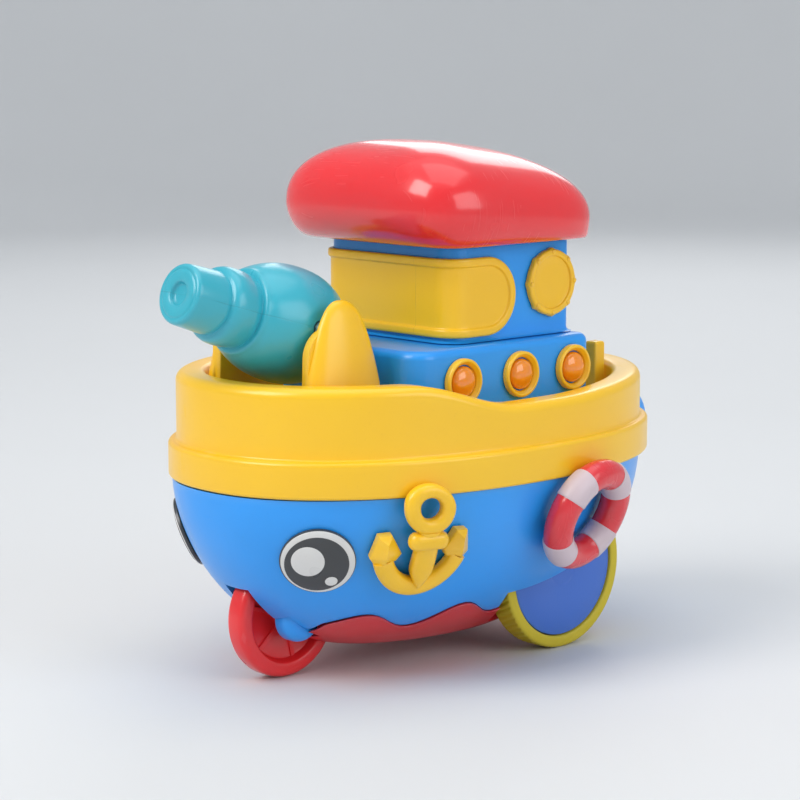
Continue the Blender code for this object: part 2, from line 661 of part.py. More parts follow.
def draped_oval(at, long, tall, lift, side, count=18):
    """Oval drawn along the hull's wall and lifted off it."""
    centre, normal = hull_point(*at, 1)
    turn = hull_matrix(normal)
    ring = []
    for i in range(count):
        a = 2 * math.pi * i / count
        flat = centre + turn @ Vector((long * math.cos(a), tall * math.sin(a), 0.0))
        point, out = hull_point(flat.x, flat.z, 1)
        spot = point + out * lift
        ring.append((spot.x, side * spot.y, spot.z))
    return ring


def make_lifebuoys():
    for side, word in SIDES:
        flat = math.cos(BUOY_LEAN)
        normal = (-math.sin(BUOY_YAW) * flat, side * math.cos(BUOY_YAW) * flat, -math.sin(BUOY_LEAN))
        turn = hull_matrix(Vector(normal))
        at = Vector((BUOY_AT[0], side * BUOY_AT[1], BUOY_AT[2]))
        profile = arc(BUOY_R, 0.0, BUOY_TUBE, 90, -270, 9)[:-1]
        buoy = turned(f"lifebuoy_{word}", profile, 20, at, turn, closed=True)
        paint(buoy, RED, 0.3)


def make_anchors():
    for side, word in SIDES:
        centre, normal = hull_point(*ANCHOR_AT, side)
        turn = hull_matrix(normal)
        outline = [(u - ANCHOR_LEAN * v, v) for u, v in anchor_outline()]
        if side < 0:
            outline = [(-u, v) for u, v in reversed(outline)]
        rings = []
        for off in (ANCHOR_OFF, ANCHOR_OFF + ANCHOR_THICK):
            rings.append([centre + turn @ Vector((u, v, off)) for u, v in outline])
        anchor = add_piece(f"anchor_{word}", loft(rings))
        eyelet = bmesh.new()
        bmesh.ops.create_cone(
            eyelet, cap_ends=True, segments=14, radius1=EYELET_R, radius2=EYELET_R, depth=9.0
        )
        u = -side * ANCHOR_LEAN * ANCHOR_RING_Y
        place = Matrix.Translation(centre + turn @ Vector((u, ANCHOR_RING_Y, 3.0)))
        bmesh.ops.transform(eyelet, matrix=place @ turn.to_4x4(), verts=eyelet.verts)
        combine(anchor, add_piece(f"eyelet_{word}", eyelet, cutter=True))
        paint(anchor, YELLOW, 0.3)


def anchor_outline():
    """Ring, collar, shank and two arms with pointed flukes, anticlockwise from the shank's foot."""
    half = [(0.0, -15.3)]
    half += arc(0.0, -2.3, 13.0, -76, -30, 7)
    half += [(13.4, -4.6), (12.2, 1.8), (8.8, 2.0), (6.0, -3.2), (6.8, -5.2)]
    half += arc(0.0, -2.3, 7.4, -32, -62, 4)
    half += [(3.1, -1.0), (4.6, -0.9), (5.3, 0.0), (5.3, 2.2), (4.6, 3.4), (4.0, 4.75)]
    half += arc(0.0, ANCHOR_RING_Y, ANCHOR_RING_R, -46, 78, 9)
    mirrored = [(-x, y) for x, y in reversed(half[1:])]
    return half + mirrored


# ---------------------------------------------------------------- wheels
def make_front_wheel():
    turn = Matrix.Rotation(-math.pi / 2, 3, "X")
    at = (FRONT_X, 0.0, FRONT_R)
    r, w = FRONT_R, FRONT_HALF
    bore = AXLE_R + 0.15
    profile = [(bore, w), (3.4, w), (3.8, 0.9), (r - 4.4, 0.9), (r - 3.6, w)]
    profile += [(r - 1.0, w), (r, w - 1.6), (r, 1.6 - w), (r - 1.0, -w)]
    profile += [(r - 3.6, -w), (r - 4.4, -0.9), (3.8, -0.9), (3.4, -w), (bore, -w)]
    wheel = turned("front_wheel", profile, 24, at, turn, closed=True)
    paint(wheel, RED, 0.25)
    pin = rod_y(FRONT_X, FRONT_R, AXLE_R, -FORK_Y + 1.4, FORK_Y - 1.4, 16)
    pin_obj = add_piece("front_axle", pin, at=at)
    paint(pin_obj, STEEL, 0.35, 1.0)
    fork = add_piece("front_fork", prism_y(fork_outline(FORK_R, FORK_TOP), -FORK_Y, FORK_Y))
    slot_low = (FRONT_X - 20.0, -FRONT_HALF - 0.9, -1.0)
    slot_high = (FRONT_X + 20.0, FRONT_HALF + 0.9, FRONT_R * 2 + 1.0)
    combine(fork, add_piece("cut_fork_slot", box(slot_low, slot_high), cutter=True))
    bore = rod_y(FRONT_X, FRONT_R, AXLE_R + 0.3, 1.2 - FORK_Y, FORK_Y - 1.2, 16)
    combine(fork, add_piece("cut_fork_bore", bore, cutter=True))
    paint(fork, BLUE, 0.28)


def make_rear_wheels():
    centre = (REAR_X, 0.0, REAR_R)
    axle = rod_y(REAR_X, REAR_R, AXLE_R, -REAR_FACE + 2.2, REAR_FACE - 2.2, 16)
    paint(add_piece("rear_axle", axle, at=centre), STEEL, 0.35, 1.0)
    rim = REAR_R - TYRE_THICK
    half = REAR_WIDTH / 2
    for side, word in SIDES:
        turn = Matrix.Rotation(-side * math.pi / 2, 3, "X")
        at = (REAR_X, side * (REAR_FACE - half), REAR_R)
        profile = [(rim, half - 0.4), (rim + 1.4, half), (REAR_R - 0.8, half), (REAR_R, half - 0.9)]
        profile += [(REAR_R, 0.9 - half), (REAR_R - 0.8, -half), (rim, -half)]
        tyre = turned(f"rear_tyre_{word}", profile, WHEEL_SIDES, at, turn, closed=True)
        paint(tyre, TYRE_YELLOW, 0.45)
        face = rim - GAP
        disc = [(0.0, half - 0.6), (face, half - 0.6), (face, 1.0 - half), (face - 2.0, 1.0 - half)]
        disc += [(face - 2.0, half - 2.6), (4.0, half - 2.6), (3.6, -half), (AXLE_R + 0.25, -half)]
        disc += [(AXLE_R + 0.25, half - 1.9), (0.0, half - 1.9)]
        wheel = turned(f"rear_wheel_{word}", disc, WHEEL_SIDES, at, turn)
        paint(wheel, DEEP_BLUE, 0.35)


# ---------------------------------------------------------------- mechanism
def gear_outline(teeth, module, phase=0.0, backlash=0.10):
    """Involute spur gear outline, 20 degree pressure angle."""
    pitch = teeth * module / 2
    base = pitch * math.cos(math.radians(20))
    outer = pitch + 0.9 * module
    root = pitch - 1.15 * module
    half_pitch = math.pi / (2 * teeth) - backlash / (2 * pitch)
    inv_pitch = math.tan(math.radians(20)) - math.radians(20)
    start = max(base, root + 0.02)
    flank = []
    for k in (0, 1):
        radius = start + (outer - start) * k
        roll = math.acos(min(base / radius, 1.0))
        flank.append((radius, half_pitch + inv_pitch - (math.tan(roll) - roll)))
    points = []
    for tooth in range(teeth):
        middle = phase + 2 * math.pi * tooth / teeth
        side = [(root, flank[0][1] + 0.02)] + flank
        for radius, angle in side:
            points.append((radius, middle - angle))
        for radius, angle in reversed(side):
            points.append((radius, middle + angle))
    return [(r * math.cos(a), r * math.sin(a)) for r, a in points]


def gear(name, at, teeth, module, y0, y1, phase, shaft=SHAFT_R + 0.25, cutter=False):
    """Spur gear along Y, with a bore for its shaft unless `shaft` is None."""
    outline = [(at[0] + x, at[1] + z) for x, z in gear_outline(teeth, module, phase)]
    piece = add_piece(name, prism_y(outline, y0, y1), at=(at[0], 0.0, at[1]), cutter=cutter)
    if shaft:
        hole = rod_y(*at, shaft, y0 - 1.0, y1 + 1.0, 12)
        combine(piece, add_piece(f"bore_{name}", hole, cutter=True))
    return piece


def mesh_phase(teeth, follower_at, leader_at, leader_teeth, leader_phase):
    """Phase that sets a tooth gap of the follower on the leader's tooth along their centre line."""
    line = math.atan2(follower_at[1] - leader_at[1], follower_at[0] - leader_at[0])
    pitches = (line - leader_phase) / (2 * math.pi / leader_teeth)
    offset = (pitches - round(pitches)) * 2 * math.pi / teeth
    return line + math.pi + offset + math.pi / teeth


def third_corner(a, b, from_a, from_b):
    """Point at the given distances from a and b, on the side towards the stern."""
    apart = math.dist(a, b)
    along = (from_a ** 2 - from_b ** 2 + apart ** 2) / (2 * apart)
    across = math.sqrt(from_a ** 2 - along ** 2)
    ux, uz = (b[0] - a[0]) / apart, (b[1] - a[1]) / apart
    return (a[0] + along * ux + across * uz, a[1] + along * uz - across * ux)


CLUTCH_AT = third_corner(
    INPUT_AT,
    IDLER_AT,
    MODULE * (INPUT_WHEEL_TEETH + CLUTCH_TEETH) / 2,
    MODULE * (WHEEL_TEETH + CLUTCH_TEETH) / 2 + 1.8 * MODULE + CLUTCH_SLIP,
)


def make_rack():
    """Plunger under the roof: a square stem whose lower end is a toothed rack facing the bow."""
    pitch = math.pi * RACK_MODULE
    tip, root = RACK_X + 0.72, RACK_X - 0.92
    outline = [(RACK_X - RACK_DEEP, RACK_LOW), (root, RACK_LOW)]
    flank = math.tan(math.radians(20))
    first = INPUT_AT[1] - 2 * pitch
    for k in range(RACK_TEETH):
        middle = first + k * pitch
        wide = pitch / 4 - 0.05
        outline.append((root, middle - wide - 0.92 * flank))
        outline.append((tip, middle - wide + 0.72 * flank))
        outline.append((tip, middle + wide - 0.72 * flank))
        outline.append((root, middle + wide + 0.92 * flank))
    outline += [(root, RACK_TEETH_TOP), (RACK_X, RACK_TEETH_TOP + 1.0)]
    outline += [(RACK_X, RACK_HIGH), (RACK_X - RACK_DEEP, RACK_HIGH)]
    stem = add_piece("press_rack", prism_y(outline, -RACK_HALF, RACK_HALF))
    collar = rod_z(RACK_X - RACK_DEEP / 2, 0.0, COLLAR_R, COLLAR_LOW, COLLAR_HIGH, 16)
    combine(stem, add_piece("stem_collar", collar, cutter=True), "UNION")
    paint(stem, NYLON, 0.4)


def shaft(name, at, y0, y1, radius=SHAFT_R):
    pin = add_piece(name, rod_y(*at, radius, y0, y1, 12), at=(at[0], 0.0, at[1]))
    paint(pin, STEEL, 0.35, 1.0)
    return pin


def add_journal(piece, at, far):
    """Makes a shaft one piece with its gear."""
    journal = rod_y(*at, SHAFT_R, -far, far, 12)
    combine(piece, add_piece(f"journal_{piece.name}", journal, cutter=True), "UNION")


def make_gears():
    far = PLATE_Y + PLATE_THICK - 0.4

    axle_at = (REAR_X, REAR_R)
    axle_gear = gear("axle_gear", axle_at, AXLE_TEETH, MODULE, 8.0, 10.4, 0.0, AXLE_R + 0.25)
    paint(axle_gear, NYLON, 0.4)

    phase = mesh_phase(PINION_TEETH, IDLER_AT, axle_at, AXLE_TEETH, 0.0)
    idler = gear("idler_gear", IDLER_AT, WHEEL_TEETH, MODULE, 4.0, 6.0, 0.0, None)
    small = gear("idler_pinion", IDLER_AT, PINION_TEETH, MODULE, 5.9, 10.6, phase, None, True)
    combine(idler, small, "UNION")
    hole = rod_y(*IDLER_AT, SHAFT_R + 0.25, 3.0, 12.0, 12)
    combine(idler, add_piece("bore_idler", hole, cutter=True))
    paint(idler, NYLON, 0.4)
    shaft("idler_shaft", IDLER_AT, -far, far)

    phase = mesh_phase(PINION_TEETH, FLY_AT, IDLER_AT, WHEEL_TEETH, 0.0)
    arbor = gear("flywheel_arbor", FLY_AT, PINION_TEETH, MODULE, 3.8, 6.2, phase, None)
    add_journal(arbor, FLY_AT, far)
    paint(arbor, STEEL, 0.35, 1.0)
    turn = Matrix.Rotation(-math.pi / 2, 3, "X")
    r, half = FLYWHEEL_R, FLYWHEEL_HALF
    rim = [(SHAFT_R + 0.25, half), (r - 0.4, half), (r, half - 0.4), (r, 0.4 - half)]
    rim += [(r - 0.4, -half), (SHAFT_R + 0.25, -half)]
    flywheel = turned("flywheel", rim, 24, (FLY_AT[0], FLYWHEEL_Y, FLY_AT[1]), turn, closed=True)
    paint(flywheel, STEEL, 0.35, 1.0)

    drive = gear("input_gear", INPUT_AT, INPUT_WHEEL_TEETH, MODULE, 4.0, 6.0, 0.0, None)
    phase = math.pi + math.pi / INPUT_TEETH
    small = gear("input_pinion", INPUT_AT, INPUT_TEETH, RACK_MODULE, -3.0, 4.1, phase, None, True)
    combine(drive, small, "UNION")
    hole = rod_y(*INPUT_AT, SHAFT_R + 0.25, -4.0, 8.0, 12)
    combine(drive, add_piece("bore_input", hole, cutter=True))
    paint(drive, NYLON, 0.4)
    shaft("input_shaft", INPUT_AT, -far, far)

    phase = mesh_phase(CLUTCH_TEETH, CLUTCH_AT, INPUT_AT, INPUT_WHEEL_TEETH, 0.0)
    clutch = gear("clutch_gear", CLUTCH_AT, CLUTCH_TEETH, MODULE, 3.8, 6.2, phase, None)
    add_journal(clutch, CLUTCH_AT, far)
    paint(clutch, NYLON, 0.4)


def make_gearbox():
    for side, word in SIDES:
        y0, y1 = side * PLATE_Y, side * (PLATE_Y + PLATE_THICK)
        low = (PLATE_AFT, min(y0, y1), PLATE_LOW)
        high = (PLATE_FORE, max(y0, y1), PLATE_HIGH)
        plate = add_piece(f"gearbox_plate_{word}", box(low, high))
        for i, (x, z) in enumerate(PILLARS):
            if side > 0:
                post = rod_y(x, z, PILLAR_R, GAP / 2, y0 + 1.0, 10)
            else:
                post = rod_y(x, z, PILLAR_R, y0 - 1.0, -GAP / 2, 10)
            combine(plate, add_piece(f"pillar_{word}_{i}", post, cutter=True), "UNION")
        spots = [(IDLER_AT, SHAFT_R), (FLY_AT, SHAFT_R), (INPUT_AT, SHAFT_R)]
        spots += [(CLUTCH_AT, SHAFT_R), ((REAR_X, REAR_R), AXLE_R)]
        for i, (at, radius) in enumerate(spots):
            hole = rod_y(*at, radius + 0.25, side * 10.0, side * 16.0, 12)
            combine(plate, add_piece(f"bearing_{word}_{i}", hole, cutter=True))
        paint(plate, NYLON, 0.4)


def make_spring():
    """Return spring between the deckhouse top and the plunger's collar."""
    curve = bpy.data.curves.new("press_spring", "CURVE")
    curve.dimensions = "3D"
    curve.bevel_depth = SPRING_WIRE * MM
    curve.bevel_resolution = 0
    curve.use_fill_caps = True
    count = SPRING_TURNS * SPRING_SIDES
    spline = curve.splines.new("POLY")
    spline.points.add(count)
    for i in range(count + 1):
        a = 2 * math.pi * i / SPRING_SIDES
        z = SPRING_LOW + (SPRING_HIGH - SPRING_LOW) * i / count
        x = RACK_X - RACK_DEEP / 2 + SPRING_R * math.cos(a)
        spline.points[i].co = (x * MM, SPRING_R * math.sin(a) * MM, z * MM, 1.0)
    spring = bpy.data.objects.new("press_spring", curve)
    parts.objects.link(spring)
    paint(spring, STEEL, 0.35, 1.0)


def make_guide():
    """Square guide that keeps the plunger upright, standing on the gearbox plates."""
    x0, x1 = RACK_X - RACK_DEEP, RACK_X
    outer = box((x0 - 2.2, -GUIDE_HALF, GUIDE_LOW), (x1 + 2.6, GUIDE_HALF, GUIDE_HIGH))
    guide = add_piece("plunger_guide", outer)
    hole = box((x0 - 0.4, -RACK_HALF - 0.4, 50.0), (x1 + 1.1, RACK_HALF + 0.4, 70.0))
    combine(guide, add_piece("cut_guide", hole, cutter=True))
    paint(guide, NYLON, 0.4)


def main():
    global parts, cutters
    clear_scene()
    parts = new_collection("toy_boat")
    cutters = new_collection("cutters")
    make_hull(wheel_well_cutters())
    make_screws()
    make_deck()
    make_cabins()
    make_portholes()
    make_windows()
    make_roof()
    make_cannon()
    make_ears()
    make_fittings()
    make_eyes()
    make_lifebuoys()
    make_anchors()
    make_front_wheel()
    make_rear_wheels()
    make_rack()
    make_gears()
    make_gearbox()
    make_spring()
    make_guide()


main()
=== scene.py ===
"""Looks of the press-and-go toy boat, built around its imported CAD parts.

Shapes are written in millimetres (X to the bow, Y to port, Z up, the origin on the ground) and
turned into metres as each piece is made.
"""

import json
import math

import bmesh
import bpy
from mathutils import Matrix, Vector


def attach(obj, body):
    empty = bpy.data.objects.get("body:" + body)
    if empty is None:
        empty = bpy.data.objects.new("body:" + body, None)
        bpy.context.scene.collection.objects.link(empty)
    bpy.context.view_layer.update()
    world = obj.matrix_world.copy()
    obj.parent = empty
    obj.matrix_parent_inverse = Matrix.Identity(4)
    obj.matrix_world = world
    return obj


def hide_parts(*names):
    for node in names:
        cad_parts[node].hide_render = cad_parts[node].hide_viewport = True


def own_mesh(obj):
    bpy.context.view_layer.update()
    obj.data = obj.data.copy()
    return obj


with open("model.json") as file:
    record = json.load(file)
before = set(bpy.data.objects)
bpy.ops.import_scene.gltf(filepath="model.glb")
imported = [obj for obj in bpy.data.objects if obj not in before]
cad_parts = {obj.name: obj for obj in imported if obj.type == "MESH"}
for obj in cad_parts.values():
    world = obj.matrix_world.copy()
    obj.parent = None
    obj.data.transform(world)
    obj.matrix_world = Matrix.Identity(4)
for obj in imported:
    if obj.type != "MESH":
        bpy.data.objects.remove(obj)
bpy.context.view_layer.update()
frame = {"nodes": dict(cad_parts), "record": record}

MM = 0.001
UP = Vector((0.0, 0.0, 1.0))
SIDES = ((1, "port"), (-1, "starboard"))

# -------------------- dimensions, mm
GAP = 0.3  # between a fitted part and the wall it is fixed to
HULL_SIZE = (76.0, 70.9, 49.1)  # to the bow, to the stern, half-beam
HULL_FLAT = (0.41, 0.12, 0.33)  # share of each size left at the bowl's foot
HULL_CURVE = (1.90, 2.52, 1.52)
HULL_BOTTOM, HULL_TOP, HULL_BLUNT = 7.5, 53.7, 2.2
HULL_WALL, HULL_FLOOR = 2.2, 1.5
KEEL_NOSE, KEEL_PROUD, KEEL_WALL, KEEL_FLOOR = 50.4, 0.7, 2.4, 1.7
SEAM_Z, SEAM_WAVE, SEAM_CREST_X, SEAM_PITCH = 17.0, 2.6, 43.0, 29.0  # scalloped keel seam
STRAKE = (76.5, 73.5, 51.1)
STRAKE_TOP, BULWARK_INSET, RIM_WIDTH, RIM_SOFT = 63.4, 2.2, 8.0, 2.6
RIM_BOW, RIM_WAIST, RIM_STERN = 82.0, 74.8, 77.5
DECK_TOP, DECK_THICK = 68.0, 2.0
HATCH, HATCH_X = (21.0, 21.0, 20.0, 14.0), -5.0  # opening in the deck under the deckhouse
HOUSE = (-37.0, 30.0, 31.0, (7.0, 3.2))  # aft, fore, half-width, corner radii to bow and stern
BRIDGE = (-34.5, 12.0, 25.5, (6.0, 3.0))
HOUSE_TOP, BRIDGE_TOP = 88.4, 116.0
HOUSE_HOLE, BRIDGE_HOLE = (-13.2, -5.4, 4.2, (1.0, 1.0)), (-22.5, 0.0, 13.5, (1.0, 1.0))
PORTHOLE_X, PORTHOLE_Z = (13.9, -8.1, -28.7), 79.5
ROUND_WINDOW, ROUND_WINDOW_R, RIVET_AT = (-25.4, 102.9), 9.6, 8.45
SCALLOP_DEEP, SCALLOP_WIDE = 0.45, 0.095  # lobe at each rivet, mm and radians
WINDOW_END, WINDOW_Z, WINDOW_HALF = -11.2, 100.8, 10.7
ROOF_X, ROOF_LONG, ROOF_WIDE, ROOF_WAIST_Z = -7.2, 33.6, 35.8, 122.4
ROOF_TILT, ROOF_RISE, ROOF_RISE_TILT, ROOF_DROP = 0.069, 18.8, 0.067, 7.6
ROOF_BLUNT, ROOF_MOUTH = (8.0, 4.6), (-11.0, 28.8, 30.8)
ROOF_WALL, ROOF_LIP = 2.0, 1.3
ROOF_POWER_UNDER, ROOF_POWER_OVER = 1.7, 2.26  # roundness below and above the waist
CABIN_SOFT, CABIN_WALL = 2.4, 2.0
REAR_X, REAR_R, REAR_FACE, REAR_HALF = -26.7, 22.7, 31.3, 4.0
FRONT_X, FRONT_R, FRONT_HALF = 50.6, 16.9, 3.3
WELL_R, WELL_INNER, WELL_OUTER = 24.9, 21.8, 33.5
FRONT_WELL_R, FRONT_WELL_HALF, LEG_SLOT_TOP = FRONT_R + 1.5, FRONT_HALF + 1.4, 60.0
TREAD_TEETH, TREAD_DEPTH = 72, 0.38
FORK_R, FORK_OUT, FORK_IN, FORK_TOP = 6.4, 10.2, 4.2, 42.0
PIVOT, CANNON_TILT = (50.1, 95.3), math.radians(17.2)
CANNON_R, CANNON_TAPER, CANNON_TAIL = 15.7, 27.1, 18.2
EAR_X, EAR_INNER, EAR_LONG, EAR_BULGE, EAR_TOP = 46.0, 16.5, 12.6, 6.4, 102.7
BITT_X, BITT_Y, BITT_HALF, BITT_TALL = -55.8, 15.4, 2.1, 14.6
FIN_Z, FIN_TALL, FIN_HALF, FIN_REACH = 59.0, 9.0, 15.2, 11.6
EYE_AT = (60.2, 37.4)
EYE_LAYERS = (  # centre, half-length, half-height, low, high, material, soft edge, steps
    ((0, 0), 9.5, 9.7, 0.3, 1.15, 1, 0.3, 72),
    ((0, 0), 9.2, 9.4, 0.6, 1.4, 0, 0.3, 72),
    ((-0.5, -0.5), 7.9, 8.1, 1.0, 1.58, 1, 0.1, 72),
    ((-3.1, 0.5), 3.9, 4.4, 1.2, 1.76, 0, 0.1, 48),
    ((2.75, -5.6), 1.65, 1.35, 1.2, 1.76, 0, 0.1, 36),
)
BUOY_AT, BUOY_R, BUOY_TUBE = (-14.9, 50.6, 42.5), 12.2, 4.0
BUOY_YAW, BUOY_LEAN = math.radians(8.0), math.radians(20.0)
BAND_HALF, BAND_PROUD = math.radians(17), 0.24
ANCHOR_AT, ANCHOR_RING, RING_R, RING_BAR = (38.4, 42.7), 9.6, 4.75, 1.95
SCREWS = ((22.0, 13.0, 8.8), (22.0, -13.0, 8.8), (-40.0, 0.0, 12.6))  # x, y, seat height
SCREW_BORE, SCREW_HOLE, SCREW_HOLE_TOP = 2.8, 1.5, 20.0
SPRING_X, SPRING_R, SPRING_WIRE, SPRING_TURNS = -9.5, 8.0, 0.6, 6
SPRING_LOW, SPRING_HIGH, PRESS_TRAVEL = 89.6, 125.2, 7.0

# -------------------- studio, metres and watts
CAMERA_AT, CAMERA_AIM = (0.4756, 0.4998, 0.1749), (0.004, 0.0, 0.065)
CAMERA_LENS, CAMERA_SENSOR, CAMERA_SHIFT = 112.5, 36.0, (-0.01, 0.0225)
LIGHTS = (  # name, place, aim, size, power, colour
    ("key", (0.95, -0.15, 0.95), (0.0, 0.0, 0.07), (0.7, 0.7), 9.5, (1.0, 0.98, 0.95)),
    ("fill", (-0.25, 1.15, 0.55), (0.0, 0.0, 0.07), (0.9, 0.7), 4.5, (0.95, 0.98, 1.0)),
    ("top", (-0.1, 0.1, 1.2), (0.0, 0.0, 0.05), (1.0, 1.0), 3.0, (1.0, 1.0, 1.0)),
    ("rim", (-0.9, -0.7, 0.7), (0.0, 0.0, 0.1), (0.6, 0.6), 2.5, (1.0, 1.0, 1.0)),
)
SKY_COLOUR, SKY_STRENGTH = (0.86, 0.90, 0.95, 1.0), 0.82
FLOOR_DARK, FLOOR_PALE = (0.67, 0.68, 0.69, 1.0), (0.71, 0.72, 0.73, 1.0)

# -------------------- materials
CLOUD_SCALE, SPECK_SCALE, PATCH_SCALE, PEEL_SCALE = 42.0, 1500.0, 75.0, 420.0  # per metre
SCUFF_TURN, SCUFF_SCALE = (0.5, 0.9, 0.35), (2200.0, 70.0, 90.0)


def add_node(tree, kind, inputs=(), **values):
    node = tree.nodes.new(kind)
    for key, value in values.items():
        setattr(node, key, value)
    for key, value in inputs:
        if isinstance(value, bpy.types.NodeSocket):
            tree.links.new(value, node.inputs[key])
        else:
            node.inputs[key].default_value = value
    return node


def ramp(tree, source, stops):
    """Colour ramp over grey levels: stops are (position, level)."""
    node = add_node(tree, "ShaderNodeValToRGB", [("Fac", source)])
    band = node.color_ramp.elements
    while len(band) < len(stops):
        band.new(0.5)
    for element, (where, level) in zip(band, stops):
        element.position = where
        element.color = (level, level, level, 1.0)
    return node.outputs["Color"]


def noise(tree, place, scale, detail):
    inputs = [("Vector", place), ("Scale", scale), ("Detail", detail)]
    return add_node(tree, "ShaderNodeTexNoise", inputs).outputs["Fac"]


def math_node(tree, operation, a, b):
    return add_node(tree, "ShaderNodeMath", [(0, a), (1, b)], operation=operation).outputs[0]


def times(tree, a, b):
    return math_node(tree, "MULTIPLY", a, b)


def mix(tree, factor, a, b, blend="MIX"):
    node = add_node(tree, "ShaderNodeMix", data_type="RGBA", blend_type=blend)
    for key, value in ((0, factor), (6, a), (7, b)):
        if isinstance(value, bpy.types.NodeSocket):
            tree.links.new(value, node.inputs[key])
        else:
            node.inputs[key].default_value = value
    return node.outputs[2]


def shade(colour, factor):
    """Opaque colour made darker or lighter."""
    return tuple(min(c * factor, 1.0) for c in colour) + (1.0,)


def finish_material(
    name, colour, rough=0.3, coat=0.3, coat_rough=0.12, metallic=0.0, mottle=0.06, peel=0.12,
    grain=0.0, scuff=0.5, wear=0.25, soft=0.0, seam=None, brushed=None,
):
    """Moulded plastic, rubber or metal: cloudy colour, orange-peel, grain, scuffs and rubbed edges.

    seam is (point, normal) of a mould parting plane; brushed is the direction of the lay.
    """
    mat = bpy.data.materials.new(name)
    mat.use_nodes = True
    tree = mat.node_tree
    shader = tree.nodes["Principled BSDF"]
    place = add_node(tree, "ShaderNodeTexCoord").outputs["Object"]

    cloud = noise(tree, place, CLOUD_SCALE, 3.0)
    speck = noise(tree, place, SPECK_SCALE, 2.0)
    base = mix(tree, cloud, shade(colour, 1.0 - mottle), shade(colour, 1.0 + mottle))
    fleck = ramp(tree, speck, [(0.62, 0.0), (0.72, 0.16)])
    base = mix(tree, fleck, base, shade(colour, 0.82))

    layout = [("Vector", place), ("Rotation", SCUFF_TURN), ("Scale", SCUFF_SCALE)]
    stretched = add_node(tree, "ShaderNodeMapping", layout).outputs["Vector"]
    hair = noise(tree, stretched, 1.0, 1.0)
    patch = noise(tree, place, PATCH_SCALE, 2.0)
    lines = ramp(tree, hair, [(0.63, 0.0), (0.70, 1.0)])
    where = ramp(tree, patch, [(0.50, 0.0), (0.66, 1.0)])
    scuffs = times(tree, times(tree, lines, where), scuff)

    pointed = add_node(tree, "ShaderNodeNewGeometry").outputs["Pointiness"]
    rubbed = ramp(tree, pointed, [(0.52, 0.0), (0.60, 1.0)])
    edge = times(tree, rubbed, wear)
    pale = tuple(c + (1.0 - c) * 0.12 for c in colour) + (1.0,)
    base = mix(tree, edge, base, pale)

    height = times(tree, speck, grain)
    waves = noise(tree, place, PEEL_SCALE, 1.5)
    height = math_node(tree, "ADD", height, times(tree, waves, peel))
    height = math_node(tree, "SUBTRACT", height, times(tree, scuffs, 0.10))

    if seam is not None:
        point, normal = seam
        ends = [(0, place), (1, tuple(Vector(point) * MM))]
        offset = add_node(tree, "ShaderNodeVectorMath", ends, operation="SUBTRACT").outputs["Vector"]
        ends = [(0, offset), (1, tuple(normal))]
        away = add_node(tree, "ShaderNodeVectorMath", ends, operation="DOT_PRODUCT").outputs["Value"]
        away = math_node(tree, "ABSOLUTE", away, 0.0)
        line = ramp(tree, times(tree, away, 1000.0), [(0.05, 1.0), (0.16, 0.0)])
        broken = ramp(tree, patch, [(0.40, 0.15), (0.56, 1.0)])
        line = times(tree, line, broken)
        base = mix(tree, times(tree, line, 0.4), base, shade(colour, 0.5))
        height = math_node(tree, "SUBTRACT", height, times(tree, line, 0.5))

    if brushed is not None:
        layout = [("Vector", place), ("Scale", brushed)]
        grooves = noise(tree, add_node(tree, "ShaderNodeMapping", layout).outputs["Vector"], 1.0, 2.0)
        height = math_node(tree, "ADD", height, times(tree, grooves, 0.5))

    smear = times(tree, math_node(tree, "SUBTRACT", patch, 0.5), 0.16)
    gloss = math_node(tree, "ADD", smear, rough)
    gloss = math_node(tree, "ADD", gloss, times(tree, scuffs, 0.25))
    bump = add_node(
        tree, "ShaderNodeBump", [("Strength", 0.35), ("Distance", 0.0002), ("Height", height)]
    ).outputs["Normal"]
    tree.links.new(base, shader.inputs["Base Color"])
    tree.links.new(gloss, shader.inputs["Roughness"])
    tree.links.new(bump, shader.inputs["Normal"])
    shader.inputs["Metallic"].default_value = metallic
    shader.inputs["Coat Weight"].default_value = coat
    shader.inputs["Coat Roughness"].default_value = coat_rough
    shader.inputs["IOR"].default_value = 1.5
    if soft:
        shader.inputs["Subsurface Weight"].default_value = soft
        shader.inputs["Subsurface Radius"].default_value = (1.0, 0.6, 0.4)
        shader.inputs["Subsurface Scale"].default_value = 0.002
    return mat


